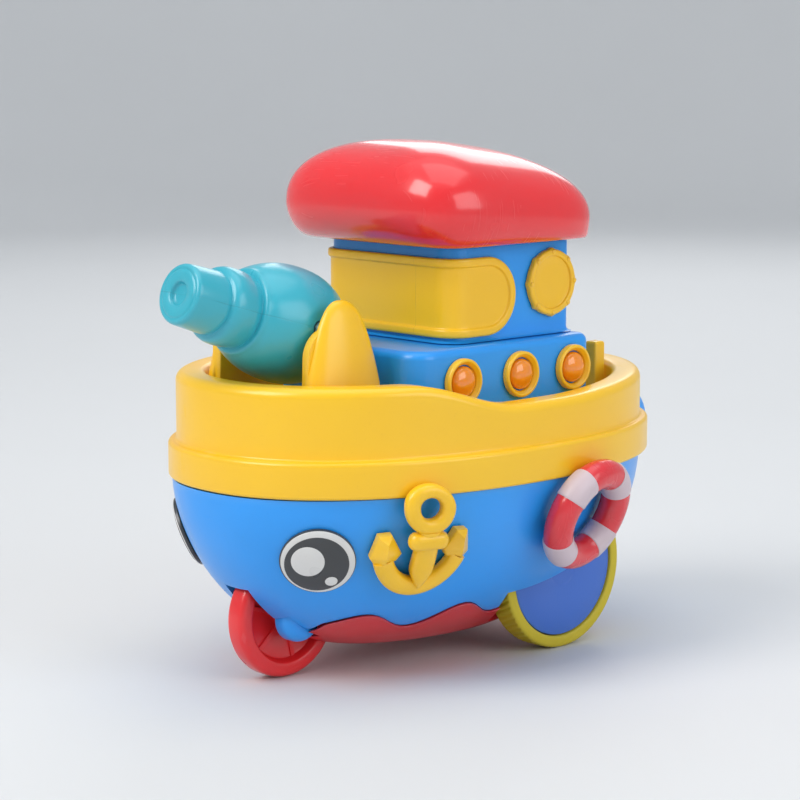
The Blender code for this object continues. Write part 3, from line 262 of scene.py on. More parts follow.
BLUE = (0.018, 0.335, 0.940)
YELLOW = (1.0, 0.570, 0.014)
WINDOW_SEAM = ((8.0, 12.4, 0.0), (0.0, 1.0, 0.0))
CANNON_SEAM = ((PIVOT[0], 0.0, PIVOT[1]), (math.sin(-CANNON_TILT), 0.0, math.cos(CANNON_TILT)))
LOOKS = {  # key: (material name, colour, what differs from a plain moulding)
    "hull_blue": ("hull_blue_plastic", BLUE, dict(rough=0.34, coat=0.25, coat_rough=0.18)),
    "keel_red": ("keel_red_plastic", (0.70, 0.024, 0.034), dict(rough=0.32, coat=0.3)),
    "roof_red": (
        "roof_red_plastic", (0.84, 0.022, 0.028), dict(rough=0.24, coat=0.6, coat_rough=0.09, peel=0.07),
    ),
    "wheel_red": ("wheel_red_plastic", (0.84, 0.020, 0.024), dict(rough=0.30, coat=0.4, scuff=0.9)),
    "trim_yellow": (
        "trim_yellow_plastic", YELLOW, dict(rough=0.32, coat=0.25, coat_rough=0.16, mottle=0.05),
    ),
    "window_yellow": (
        "window_yellow_plastic", YELLOW,
        dict(rough=0.36, coat=0.2, coat_rough=0.2, mottle=0.05, seam=WINDOW_SEAM),
    ),
    "lens_orange": (
        "lens_orange_plastic", (1.0, 0.300, 0.008),
        dict(rough=0.14, coat=0.9, coat_rough=0.04, peel=0.04, scuff=0.2, soft=0.15),
    ),
    "tyre_yellow": (
        "tyre_yellow_rubber", (0.640, 0.500, 0.018),
        dict(rough=0.52, coat=0.0, grain=0.35, peel=0.2, scuff=0.9),
    ),
    "disc_blue": (
        "disc_blue_plastic", (0.050, 0.165, 0.620),
        dict(rough=0.42, coat=0.12, coat_rough=0.25, grain=0.25, scuff=0.9),
    ),
    "buoy_red": (
        "buoy_red_plastic", (0.74, 0.030, 0.042), dict(rough=0.26, coat=0.5, coat_rough=0.08),
    ),
    # The bands are white: the pink-grey tint in this colour is a painted reflection of the red ring and
    # painted shade.
    "buoy_band": ("buoy_band_plastic", (0.64, 0.52, 0.56), dict(rough=0.42, coat=0.1, grain=0.3)),
    "eye_white": ("eye_white_print", (0.74, 0.73, 0.71), dict(rough=0.30, coat=0.4, mottle=0.03)),
    "eye_dark": (
        "eye_dark_print", (0.040, 0.043, 0.047), dict(rough=0.30, coat=0.4, mottle=0.2, wear=0.0),
    ),
    "cannon_cyan": (
        "cannon_cyan_plastic", (0.038, 0.440, 0.560),
        dict(rough=0.30, coat=0.3, coat_rough=0.15, seam=CANNON_SEAM),
    ),
    "steel": (
        "plain_steel", (0.62, 0.62, 0.64),
        dict(rough=0.30, coat=0.0, metallic=1.0, mottle=0.08, wear=0.0, brushed=(400.0, 9000.0, 400.0)),
    ),
    "nylon": (
        "natural_nylon", (0.83, 0.82, 0.76), dict(rough=0.44, coat=0.0, grain=0.3, soft=0.2, wear=0.0),
    ),
}
MATS = {key: finish_material(name, colour, **look) for key, (name, colour, look) in LOOKS.items()}


# -------------------- mesh helpers
def around(count):
    """Angles of a whole turn."""
    return [2 * math.pi * i / count for i in range(count)]


def polar(radius, a, z):
    return Vector((radius * math.cos(a), radius * math.sin(a), z))


def shell_of(rows, closed=False, mat=0):
    """Closed skin over rings of equal length: joined end to end, or capped at both ends."""
    count = len(rows[0])
    points = [tuple(p) for row in rows for p in row]
    faces = []
    for r in range(len(rows) - (0 if closed else 1)):
        a, b = r * count, ((r + 1) % len(rows)) * count
        for i in range(count):
            j = (i + 1) % count
            faces.append((a + i, a + j, b + j, b + i))
    if not closed:
        faces.append(tuple(range(count - 1, -1, -1)))
        faces.append(tuple(range((len(rows) - 1) * count, len(rows) * count)))
    return points, faces, mat


def spun(profile, steps, place, closed=False):
    """Profile of (radius, height) turned about local Z and put in place."""
    rows = [[place @ polar(radius, a, height) for a in around(steps)] for radius, height in profile]
    return shell_of(rows, closed)


def make_mesh(name, shells):
    """Joins closed shells into one mesh in metres, welds poles and turns the faces outwards."""
    bm = bmesh.new()
    for points, faces, mat in shells:
        verts = [bm.verts.new(Vector(p) * MM) for p in points]
        for face in faces:
            corners = [verts[i] for i in face]
            spots = {tuple(round(c, 8) for c in v.co) for v in corners}
            if len(spots) > 2:
                made = bm.faces.new(corners)
                made.material_index = mat
    bmesh.ops.remove_doubles(bm, verts=bm.verts, dist=1e-7)
    loose = [v for v in bm.verts if not v.link_faces]
    bmesh.ops.delete(bm, geom=loose, context="VERTS")
    bmesh.ops.recalc_face_normals(bm, faces=bm.faces)
    mesh = bpy.data.meshes.new(name)
    bm.to_mesh(mesh)
    bm.free()
    return mesh


def add_object(name, data):
    obj = bpy.data.objects.new(name, data)
    bpy.context.scene.collection.objects.link(obj)
    return obj


def carve(obj, shells, operation="DIFFERENCE"):
    """Cuts, joins or keeps the overlap with another closed mesh, and applies the result."""
    tool = add_object("tool", make_mesh("tool", shells))
    mod = obj.modifiers.new("carve", "BOOLEAN")
    mod.operation, mod.object, mod.solver = operation, tool, "EXACT"
    ready = obj.evaluated_get(bpy.context.evaluated_depsgraph_get())
    mesh = bpy.data.meshes.new_from_object(ready)
    obj.modifiers.clear()
    obj.data = mesh
    bpy.data.objects.remove(tool, do_unlink=True)


def make_piece(name, shells, mat, node, body="hull", others=(), cuts=(), joins=(), angle=38.0):
    """One visible piece, standing for a CAD node and riding on a body."""
    obj = add_object(name, make_mesh(name, shells))
    for key in (mat, *others):
        obj.data.materials.append(MATS[key])
    for tool in joins:
        carve(obj, [tool], "UNION")
    for tool in cuts:
        carve(obj, [tool])
    obj.data.shade_smooth()
    obj.data.set_sharp_from_angle(angle=math.radians(angle))
    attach(obj, body)
    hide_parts(node)
    return obj


def slab_y(outline, y0, y1):
    """Outline of (x, z) points drawn out along Y."""
    return shell_of([[(x, y, z) for x, z in outline] for y in (y0, y1)])


def rod_y(x, z, radius, y0, y1, sides=72):
    return slab_y([(x + radius * math.cos(a), z + radius * math.sin(a)) for a in around(sides)], y0, y1)


def box(low, high):
    x0, y0, z0 = low
    x1, y1, z1 = high
    ring = [(x0, y0), (x1, y0), (x1, y1), (x0, y1)]
    return shell_of([[(x, y, z) for x, y in ring] for z in (z0, z1)])


def arc(cx, cy, radius, start, end, count):
    """Points on an arc, angles in degrees."""
    turns = [math.radians(start + (end - start) * i / (count - 1)) for i in range(count)]
    return [(cx + radius * math.cos(a), cy + radius * math.sin(a)) for a in turns]


def signed_power(value, power):
    return math.copysign(abs(value) ** power, value)


def oval(bow, stern, half, blunt, count, x=0.0):
    """Superellipse in plan with its own half-length to bow and to stern."""
    points = []
    for a in around(count):
        c, s = math.cos(a), math.sin(a)
        long = bow if c >= 0 else stern
        points.append((x + long * signed_power(c, 2 / blunt), half * signed_power(s, 2 / blunt)))
    return points


# -------------------- hull and keel
def swell(t, power):
    """Rise from 0 to 1 that starts steeply and flattens out."""
    return (1 - (1 - t) ** power) ** (1 / power)


def hull_sizes(t, grow=0.0):
    """Reach to the bow, to the stern and to the side at a height fraction of the bowl."""
    return [s * (f + (1 - f) * swell(t, c)) + grow for s, f, c in zip(HULL_SIZE, HULL_FLAT, HULL_CURVE)]


def hull_spot(a, t, grow):
    """Point of the bowl's outline at plan angle a and height fraction t."""
    bow, stern, half = hull_sizes(t, grow)
    c, s = math.cos(a), math.sin(a)
    long = bow if c >= 0 else stern
    return long * signed_power(c, 2 / HULL_BLUNT), half * signed_power(s, 2 / HULL_BLUNT)


def hull_height(t):
    return HULL_BOTTOM + (HULL_TOP - HULL_BOTTOM) * t


def seam_share(a, lift, grow):
    """Height fraction at which the wall at plan angle a crosses the scalloped seam."""

    def below(t):
        x = hull_spot(a, t, grow)[0]
        wave = SEAM_Z + SEAM_WAVE * math.cos(2 * math.pi * (x - SEAM_CREST_X) / SEAM_PITCH) + lift
        return x < KEEL_NOSE + lift and hull_height(t) < wave

    low, high = 0.0, 0.004
    while below(high):
        low, high = high, high + 0.004
    for _ in range(18):
        middle = (low + high) / 2
        low, high = (middle, high) if below(middle) else (low, middle)
    return (low + high) / 2


def well_tools():
    """Cutters for the wheel wells and the fork's slot."""
    tools = [rod_y(REAR_X, REAR_R, WELL_R, side * WELL_INNER, side * WELL_OUTER, 120) for side, _ in SIDES]
    tools.append(rod_y(FRONT_X, FRONT_R, FRONT_WELL_R, -FRONT_WELL_HALF, FRONT_WELL_HALF, 120))
    reach, out = FORK_R + GAP, FORK_OUT + GAP
    leg = arc(FRONT_X, FRONT_R, reach, 180, 360, 40)
    leg += [(FRONT_X + reach, LEG_SLOT_TOP), (FRONT_X - reach, LEG_SLOT_TOP)]
    tools.append(slab_y(leg, -out, out))
    return tools


def bowl_ring(angles, shares, grow, rise):
    """Ring on the bowl with its own height fraction at each plan angle."""
    return [(*hull_spot(a, t, grow), hull_height(t) + rise) for a, t in zip(angles, shares)]


def make_hull_skin():
    angles = around(192)
    top = (HULL_TOP - GAP - HULL_BOTTOM) / (HULL_TOP - HULL_BOTTOM)
    lows = [seam_share(a, GAP / 2, 0.0) for a in angles]
    levels = [0.0] + [(i / 30) ** 1.15 for i in range(1, 31)]

    def ring(s, grow, rise):
        """Ring at a share s of the way from the seam to the top."""
        return bowl_ring(angles, [low + (top - low) * s for low in lows], grow, rise)

    rows = [ring(s, 0.0, 0.0) for s in levels]
    rows += [ring(s, -HULL_WALL, HULL_FLOOR * (1 - s)) for s in levels[::-3]]
    make_piece("hull_skin", [shell_of(rows, closed=True)], "hull_blue", "hull_shell", cuts=well_tools())


def make_keel_skin():
    angles = around(192)
    lows = [seam_share(a, -GAP / 2, KEEL_PROUD) for a in angles]
    bottom = HULL_BOTTOM - KEEL_PROUD
    rows = []
    for k in (0.0, 0.2, 0.45, 0.7, 0.88):
        rows.append([(x * k, y * k, bottom) for x, y in (hull_spot(a, 0.0, KEEL_PROUD) for a in angles)])
    for i in range(19):
        ring = []
        for a, low in zip(angles, lows):
            t = low * (i / 18) ** 2
            sink = KEEL_PROUD * max(0.0, 1 - t / 0.06)
            ring.append((*hull_spot(a, t, KEEL_PROUD), hull_height(t) - sink - 0.25 * (i == 18)))
        rows.append(ring)
    for inset, drop in ((0.06, 0.12), (0.2, 0.02), (0.5, 0.0)):
        rows.append(bowl_ring(angles, lows, KEEL_PROUD - inset, -drop))
    for i in range(6, -1, -1):
        shares = [low * (i / 6) ** 2 for low in lows]
        rows.append(bowl_ring(angles, shares, -KEEL_WALL, KEEL_FLOOR * (1 - i / 6)))
    rows.append([(0.0, 0.0, rows[-1][0][2])] * len(angles))
    tools = well_tools()
    for x, y, seat in SCREWS:
        place = Matrix.Translation((x, y, 0.0))
        for radius, top, sides in ((SCREW_BORE, seat, 40), (SCREW_HOLE, SCREW_HOLE_TOP, 24)):
            tools.append(spun([(0.0, 0.0), (radius, 0.0), (radius, top), (0.0, top)], sides, place))
    make_piece("keel_skin", [shell_of(rows)], "keel_red", "keel_plate", cuts=tools)


def make_screws():
    for i, (x, y, seat) in enumerate(SCREWS, 1):
        top = seat - GAP
        head = [(0.0, top + 14.0), (1.2, top + 12.0), (1.2, top), (2.3, top), (2.4, top - 0.15)]
        head += [(2.35, top - 0.5), (2.0, top - 0.95), (1.4, top - 1.15), (0.0, top - 1.2)]
        place = Matrix.Translation((x, y, 0.0))
        cross = []
        for dx, dy in ((1.4, 0.28), (0.28, 1.4)):
            cross.append(box((x - dx, y - dy, top - 2.0), (x + dx, y + dy, top - 0.5)))
        make_piece(f"screw_{i}", [spun(head, 36, place)], "steel", f"keel_screw_{i}", cuts=cross)


# -------------------- strake, bulwark and deck
def rim_height(x):
    """Sheer of the bulwark: high at the bow, lowest amidships."""
    t = min(max((x - 8.0) / 34.0, 0.0), 1.0)
    bow = t * t * (3 - 2 * t)
    aft = min(max((-12.0 - x) / 60.0, 0.0), 1.0)
    return RIM_WAIST + (RIM_BOW - RIM_WAIST) * bow + (RIM_STERN - RIM_WAIST) * aft ** 1.3


def make_deck():
    def ring(inset):
        return oval(*(size - inset for size in STRAKE), HULL_BLUNT, count=216)

    def level(inset, z):
        return [(x, y, z) for x, y in ring(inset)]

    def under_rim(inset, drop):
        return [(x, y, rim_height(x) - drop) for x, y in ring(inset)]

    def between(inset, low, share):
        """On the bulwark wall, at a share of the way from a level up to the rim's soft edge."""
        return [(x, y, low + (rim_height(x) - RIM_SOFT - low) * share) for x, y in ring(inset)]

    hatch = oval(*HATCH, count=216, x=HATCH_X)
    inner = BULWARK_INSET + RIM_WIDTH
    under = DECK_TOP - DECK_THICK
    foot, brow, ledge, crease = 0.9, 1.2, 0.8, 1.0  # radii of the small rounds
    rows = [[(x, y, under) for x, y in hatch], level(inner - 2.0, under)]
    rows += [under_rim(inner - 2.0, 2.4), under_rim(BULWARK_INSET + 2.0, 2.4)]
    rows += [level(4.4, STRAKE_TOP - 1.0), level(5.4, HULL_TOP), level(foot, HULL_TOP)]
    rows += [level(foot + dx, HULL_TOP + foot + dz) for dx, dz in arc(0, 0, foot, 270, 180, 6)[1:]]
    rows += [level(0.0, HULL_TOP + 4.0), level(0.0, STRAKE_TOP - 3.0)]
    rows += [level(brow + dx, STRAKE_TOP - brow + dz) for dx, dz in arc(0, 0, brow, 180, 90, 8)]
    inset, low = BULWARK_INSET - ledge, STRAKE_TOP + ledge
    rows += [level(inset + dx, low + dz) for dx, dz in arc(0, 0, ledge, 270, 360, 6)[1:]]
    rows += [between(BULWARK_INSET, low, share) for share in (0.25, 0.5, 0.75)]
    crown = arc(0, 0, RIM_SOFT, 180, 90, 10)
    rows += [under_rim(BULWARK_INSET + RIM_SOFT + dx, RIM_SOFT - dz) for dx, dz in crown]
    soft = 1.5
    crown = arc(0, 0, soft, 90, 0, 7)
    rows += [under_rim(inner - soft + dx, soft - dz) for dx, dz in crown]
    low = DECK_TOP + crease
    rows += [between(inner, low, 0.5), level(inner, low)]
    rows += [level(inner + crease + dx, low + dz) for dx, dz in arc(0, 0, crease, 180, 270, 5)[1:]]
    rows += [[(x, y, DECK_TOP) for x, y in hatch]]
    posts = []
    for x, y, seat in SCREWS:
        place = Matrix.Translation((x, y, 0.0))
        low, high = seat + 4.6, DECK_TOP - 1.0
        wall = [(1.5, low), (3.0, low), (3.0, high), (1.5, high)]
        posts.append(spun(wall, 24, place, closed=True))
    make_piece("deck_skin", [shell_of(rows, closed=True)], "trim_yellow", "deck_bulwark", joins=posts)


# -------------------- superstructure
def rounded_box(aft, fore, half, corners, inset=0.0, side_steps=12):
    """Rectangle in plan with its own corner radius to bow and to stern, anticlockwise."""
    aft, fore, half = aft + inset, fore - inset, half - inset
    bow, stern = (max(radius - inset, 0.3) for radius in corners)
    turns = [(fore - bow, half - bow, bow, 0), (aft + stern, half - stern, stern, 90)]
    turns += [(aft + stern, stern - half, stern, 180), (fore - bow, bow - half, bow, 270)]
    corners = [arc(x, y, radius, start, start + 90, 19) for x, y, radius, start in turns]
    points = []
    for corner, after in zip(corners, corners[1:] + corners[:1]):
        points += corner
        (x0, y0), (x1, y1) = corner[-1], after[0]
        for i in range(1, side_steps):
            share = i / side_steps
            points.append((x0 + (x1 - x0) * share, y0 + (y1 - y0) * share))
    return points


def make_cabin(name, node, plan, hole, low, top, flare=0.0):
    """Open-bottomed cabin with soft top edges, its foot flared where asked."""
    soft = CABIN_SOFT

    def level(inset, z):
        return [(x, y, z) for x, y in rounded_box(*plan, inset)]

    rows = [level(CABIN_WALL, low), level(-flare, low)]
    if flare:
        rows += [level(-flare - dx, low + flare + dz) for dx, dz in arc(0, 0, flare, 270, 180, 7)[1:]]
    rows += [level(0.0, low + (top - low) * share) for share in (0.3, 0.6)]
    rows += [level(soft - dx, top - soft + dz) for dx, dz in arc(0, 0, soft, 0, 90, 10)]
    rows += [[(x, y, z) for x, y in rounded_box(*hole)] for z in (top, top - CABIN_WALL)]
    rows.append(level(CABIN_WALL, top - CABIN_WALL))
    make_piece(name, [shell_of(rows, closed=True)], "hull_blue", node)


def wall_place(side, x, y, z):
    """Frame just off a cabin's side wall: local Z outwards, local Y up."""
    normal = Vector((0.0, side, 0.0))
    turn = Matrix((UP.cross(normal), UP, normal)).transposed()
    return Matrix.Translation((x, side * (y + GAP), z)) @ turn.to_4x4()


def make_portholes():
    rim = [(6.3, 0.0), (6.3, 0.9)] + [(5.75 + dx, 1.25 + dz) for dx, dz in arc(0, 0, 0.55, 20, 160, 7)]
    rim += [(5.0, 1.15), (4.75, 0.95), (4.6, 0.6), (4.6, 0.0)]
    dome = [(0.0, 0.0), (4.2, 0.0), (4.2, 0.5)]
    turns = [0.1 * math.pi / 2 * i for i in range(1, 10)]
    dome += [(4.2 * math.cos(a), 0.5 + 2.0 * math.sin(a)) for a in turns] + [(0.0, 2.5)]
    for side, word in SIDES:
        for i, x in enumerate(PORTHOLE_X, 1):
            place = wall_place(side, x, HOUSE[2], PORTHOLE_Z)
            ring, lens = spun(rim, 64, place, closed=True), spun(dome, 48, place)
            make_piece(f"porthole_rim_{word}_{i}", [ring], "trim_yellow", f"porthole_{word}_{i}")
            make_piece(f"porthole_dome_{word}_{i}", [lens], "lens_orange", f"lens_{word}_{i}", angle=60)


def make_round_windows():
    x, z = ROUND_WINDOW
    for side, word in SIDES:
        place = wall_place(side, x, BRIDGE[2], z)
        rows = []
        for share, height in (
            (0.0, 0.0), (1.0, 0.0), (1.0, 0.75), (0.99, 1.15), (0.965, 1.42), (0.93, 1.55), (0.88, 1.6),
            (0.835, 1.58), (0.81, 1.48), (0.795, 1.25), (0.785, 0.95), (0.76, 0.85), (0.5, 0.85), (0.0, 0.85),
        ):
            ring = []
            for a in around(192):
                apart = (a + math.pi / 8) % (math.pi / 4) - math.pi / 8
                lobe = SCALLOP_DEEP * math.exp(-((apart / SCALLOP_WIDE) ** 2))
                edge = ROUND_WINDOW_R - SCALLOP_DEEP + lobe * max(0.0, (share - 0.84) / 0.16)
                ring.append(place @ polar(edge * share, a, height))
            rows.append(ring)
        rivets = []
        for a in around(8):
            spot = place @ Matrix.Translation(polar(RIVET_AT, a, 1.35))
            cap = [(0.0, 0.0), (0.72, 0.0), (0.72, 0.2), (0.62, 0.42), (0.4, 0.56), (0.0, 0.62)]
            rivets.append(spun(cap, 16, spot))
        name, node = f"scalloped_window_{word}", f"round_window_{word}"
        make_piece(name, [shell_of(rows)], "trim_yellow", node, joins=rivets)


def bridge_path():
    """Dense points round the bridge's bow end, port to starboard, and their run lengths."""
    _, fore, half, (radius, _) = BRIDGE
    corner = arc(fore - radius, half - radius, radius, 90, 0, 90)
    points = [(WINDOW_END + (corner[0][0] - WINDOW_END) * i / 60, half) for i in range(60)] + corner
    points = [Vector(p) for p in points]
    points += [Vector((fore, (half - radius) * (1 - 2 * i / 90))) for i in range(1, 45)]
    points += [Vector((p.x, -p.y)) for p in reversed(points)]
    run = [0.0]
    for p, q in zip(points, points[1:]):
        run.append(run[-1] + (q - p).length)
    return points, run


def make_wrap_window():
    points, run = bridge_path()
    half = run[-1] / 2

    def on_wall(s, z, out):
        """Point at run s from the bow's middle, lifted off the wall."""
        want = min(max(s + half, 0.0), run[-1])
        low, high = 0, len(run) - 1
        while high - low > 1:
            middle = (low + high) // 2
            low, high = (middle, high) if run[middle] <= want else (low, middle)
        share = (want - run[low]) / max(run[high] - run[low], 1e-9)
        spot = points[low].lerp(points[high], share)
        back, ahead = points[max(low - 2, 0)], points[min(high + 2, len(points) - 1)]
        along = (ahead - back).normalized()
        return (spot.x - along.y * out, spot.y + along.x * out, z)

    straight = half - WINDOW_HALF
    profile = [(WINDOW_HALF, GAP), (4.0, GAP), (0.0, GAP), (0.0, 0.95), (0.12, 1.3), (0.4, 1.52)]
    profile += [(0.8, 1.6), (1.8, 1.6), (2.1, 1.52), (2.3, 1.34), (2.42, 1.08), (2.55, 0.92), (2.9, 0.86)]
    profile += [(5.0, 0.86), (7.5, 0.86), (WINDOW_HALF, 0.86)]
    rows = []
    for inset, out in profile:
        radius = WINDOW_HALF - inset
        outline = []
        for way in (1, -1):
            outline += [(way * (straight - 2 * straight * i / 100), way * radius) for i in range(100)]
            turns = [math.pi * (0.5 * way + i / 32) for i in range(32)]
            outline += [(-way * straight + radius * math.cos(a), radius * math.sin(a)) for a in turns]
        rows.append([on_wall(s, WINDOW_Z + z, out) for s, z in outline])
    make_piece("wheelhouse_window", [shell_of(rows)], "window_yellow", "wrap_window", angle=45)


def roof_ring(v, wall, lip):
    """Ring of the pillow: v runs from -1 at the mouth over 0 at the waist to 1 at the crown."""
    a = abs(v)
    power = ROOF_POWER_UNDER if v < 0 else ROOF_POWER_OVER
    full = (1 - a ** power) ** (1 / power)
    scale = 1.0 if v < 0 else full
    long, wide = ROOF_LONG * scale - wall, ROOF_WIDE * scale - wall
    middle, mouth_long, mouth_wide = ROOF_MOUTH
    mouth = oval(mouth_long - lip, mouth_long - lip, mouth_wide - lip, ROOF_BLUNT[0], count=216, x=middle)
    ring = []
    for (x, y), (edge_x, edge_y) in zip(oval(long, long, wide, ROOF_BLUNT[1], count=216), mouth):
        if v < 0:
            z = ROOF_WAIST_Z + ROOF_TILT * x * (1 - a) + ROOF_DROP * v
            ring.append((edge_x + (x + ROOF_X - edge_x) * full, edge_y + (y - edge_y) * full, z))
        else:
            z = ROOF_WAIST_Z + ROOF_TILT * x + (ROOF_RISE + ROOF_RISE_TILT * x) * v - wall
            ring.append((x + ROOF_X, y, z))
    return ring


def make_roof():
    upper = [math.sin(math.pi / 2 * i / 30) for i in range(30)] + [0.9995]
    lower = [-math.sin(math.pi / 2 * i / 14) for i in range(1, 14)]
    rows = [roof_ring(v, 0.0, 0.0) for v in upper[::-1] + lower]
    rows += [roof_ring(-1.0, 0.0, 0.0), roof_ring(-1.0, 0.0, 0.35), roof_ring(-1.0, 0.0, 0.95)]
    rows += [roof_ring(v, ROOF_WALL, ROOF_LIP) for v in (-0.97, -0.8, -0.4, 0.0, 0.4, 0.7, 0.9, 0.98)]
    make_piece("roof_pillow", [shell_of(rows)], "roof_red", "roof_cap", "roof", angle=50)


# -------------------- cannon and cheeks
def make_cannon():
    """Barrel about its own axis, from the muzzle's bore over the collar to the round breech."""
    profile = [(0.0, 34.5), (2.2, 34.5), (2.75, 34.7), (3.0, 35.15), (3.2, 35.6), (3.6, 35.85)]
    profile += [(5.9, 35.9), (6.25, 35.8), (6.4, 35.62), (6.6, 35.6), (6.85, 35.72), (7.3, 35.7)]
    profile += [(7.75, 35.4), (8.0, 34.9), (8.1, 34.2), (8.3, 29.5), (8.45, 26.2), (8.42, 25.3)]
    profile += [(8.3, 24.95), (8.35, 24.7), (8.7, 24.55), (9.3, 24.35), (9.85, 23.7), (10.2, 22.6)]
    profile += [(10.35, 21.0), (10.3, 19.0), (10.05, 16.9), (9.9, 16.1), (9.8, 15.75), (9.9, 15.5)]
    profile += [(10.4, 15.45), (11.0, 15.4), (11.4, 15.15), (11.62, 14.7), (11.78, 14.2)]
    front = (13.4, 12.2, 10.8, 9.2, 7.4, 5.5, 3.6, 1.8, 0.0)
    profile += [(CANNON_R * (1 - (d / CANNON_TAPER) ** 2.2), d) for d in front]
    tail = [CANNON_TAIL * math.sin(math.pi / 2 * i / 16) for i in range(1, 17)]
    profile += [(CANNON_R * max(1 - (d / CANNON_TAIL) ** 2.3, 0.0) ** 0.476, -d) for d in tail]
    place = Matrix.Translation((PIVOT[0], 0.0, PIVOT[1])) @ Matrix.Rotation(math.pi / 2 - CANNON_TILT, 4, "Y")
    holes = [rod_y(*PIVOT, 2.2, side * 12.0, side * 20.0, 32) for side, _ in SIDES]
    barrel = [spun(profile, 112, place)]
    make_piece("cannon_shell", barrel, "cannon_cyan", "cannon_barrel", "cannon", cuts=holes, angle=50)


def make_cheeks():
    for side, word in SIDES:
        low = DECK_TOP + GAP
        face, corner = EAR_INNER + 1.8, 0.7
        rows = []
        levels = 30
        for k in range(levels + 1):
            drop = (EAR_TOP - low) * (1 - k / levels) ** 2.0
            scale = min((max(drop, 0.0) / 23.0) ** 0.40, 1.0) if drop > 1e-6 else 0.0
            r = corner * min(scale * 2.0, 1.0)
            reach, bulge = EAR_LONG * scale, EAR_BULGE * scale
            ring = [(EAR_X + reach - r + dx, face + r + dy) for dx, dy in arc(0, 0, r, 270, 360, 5)]
            for i in range(1, 40):
                a = math.pi * i / 40
                ring.append((EAR_X + reach * math.cos(a), face + r + (bulge - r) * math.sin(a) ** 0.85))
            ring += [(EAR_X - reach + r + dx, face + r + dy) for dx, dy in arc(0, 0, r, 180, 270, 5)]
            ring += [(EAR_X + (reach - r) * share, face) for share in (-0.5, 0.0, 0.5)]
            rows.append([(x, side * y, EAR_TOP - drop) for x, y in ring])
        plate = []
        for inset, y in ((0.9, 0.0), (0.35, 0.15), (0.0, 0.7), (0.0, 3.0)):
            outline = arc(PIVOT[0] - 0.8, PIVOT[1] - 7.5, 8.2 - inset, 0, 180, 40)
            outline += [(PIVOT[0] - 9.0 + inset, low), (PIVOT[0] + 8.0 - inset, low)]
            plate.append([(x, side * (EAR_INNER + y), z) for x, z in outline])
        bore = rod_y(*PIVOT, 2.15, side * 10.0, side * (EAR_INNER + 3.4), 32)
        ear, plate, node = shell_of(rows), shell_of(plate), f"cannon_cheek_{word}"
        make_piece(f"cheek_{word}", [ear], "trim_yellow", node, joins=[plate], cuts=[bore], angle=42)


# -------------------- deck fittings and trim
def make_bitts():
    for side, word in SIDES:
        plan = (BITT_X - BITT_HALF, BITT_X + BITT_HALF, BITT_HALF, (0.7, 0.7))
        rows = []
        low = DECK_TOP + GAP
        for inset, z in ((0.0, 0.0), (0.0, 13.7), (0.12, 14.15), (0.4, 14.45), (0.8, BITT_TALL)):
            outline = rounded_box(*plan, inset, side_steps=2)
            rows.append([(x, side * BITT_Y + y, low + z) for x, y in outline])
        make_piece(f"bitt_{word}", [shell_of(rows)], "trim_yellow", f"stern_bitt_{word}")


def make_stern_bulge():
    rows = []
    for k in range(25):
        a = math.pi * k / 24
        z = FIN_Z - FIN_TALL * math.cos(a)
        half = FIN_HALF * math.sin(a) ** 0.5 + 0.05
        reach = FIN_REACH * math.sin(a) ** 0.6 * (1.0 + 0.18 * math.cos(a)) + 0.1
        ring = []
        for i in range(9):
            y = half * (1 - 2 * i / 8)
            edge = (1 - abs(y / STRAKE[2]) ** HULL_BLUNT) ** (1 / HULL_BLUNT)
            ring.append((-STRAKE[1] * edge - GAP, y, z))
        root = -STRAKE[1] - GAP
        for b in (math.pi * i / 22 for i in range(1, 22)):
            ring.append((root - reach * math.sin(b) ** 0.75, -half * math.cos(b), z))
        rows.append(ring)
    make_piece("stern_bulge", [shell_of(rows)], "hull_blue", "stern_fin", angle=55)


def hull_point(x, z):
    """Point of the bowl's outside at (x, z) on the port side, and its outward normal."""

    def beam(px, pz):
        bow, stern, half = hull_sizes(min((pz - HULL_BOTTOM) / (HULL_TOP - HULL_BOTTOM), 0.9999))
        return half * (1 - abs(px / (bow if px >= 0 else stern)) ** HULL_BLUNT) ** (1 / HULL_BLUNT)

    step = 0.2
    dx = (beam(x + step, z) - beam(x - step, z)) / (2 * step)
    dz = (beam(x, z + step) - beam(x, z - step)) / (2 * step)
    return Vector((x, beam(x, z), z)), Vector((-dx, 1.0, -dz)).normalized()


def hull_frame(at):
    """Frame on the port wall: local Z outwards, local X to the stern, local Y up the wall."""
    point, normal = hull_point(*at)
    along = UP.cross(normal).normalized()
    return point, Matrix((along, normal.cross(along), normal)).transposed()


def draped(at, u, v, out, side):
    """Point at (u, v) on the wall's tangent plane, dropped onto the hull and lifted off it."""
    centre, turn = hull_frame(at)
    flat = centre + turn @ Vector((u, v, 0.0))
    z = min(flat.z, HULL_TOP - 1.5)
    point, normal = hull_point(flat.x, z)
    spot = point + normal * out
    return (spot.x, side * spot.y, spot.z + flat.z - z)


def draped_dome(at, centre, long, tall, low, high, mat, soft, count, side):
    """Thin domed oval lying on the hull between two heights above it."""
    rows = []
    for share, out in (
        (0.0, low), (0.5, low), (1.0, low), (1.0, high - soft), (1.0 - 0.3 * soft / tall, high - 0.25 * soft),
        (1.0 - soft / tall, high), (0.7, high + 0.05), (0.35, high + 0.08), (0.0, high + 0.1),
    ):
        ring = []
        for a in around(count):
            u = centre[0] + long * share * math.cos(a)
            ring.append(draped(at, u, centre[1] + tall * share * math.sin(a), out, side))
        rows.append(ring)
    return shell_of(rows, mat=mat)


def make_eyes():
    for side, word in SIDES:
        shells = [draped_dome(EYE_AT, *layer, side) for layer in EYE_LAYERS]
        make_piece(f"eye_print_{word}", shells, "eye_white", f"eye_{word}", others=["eye_dark"])


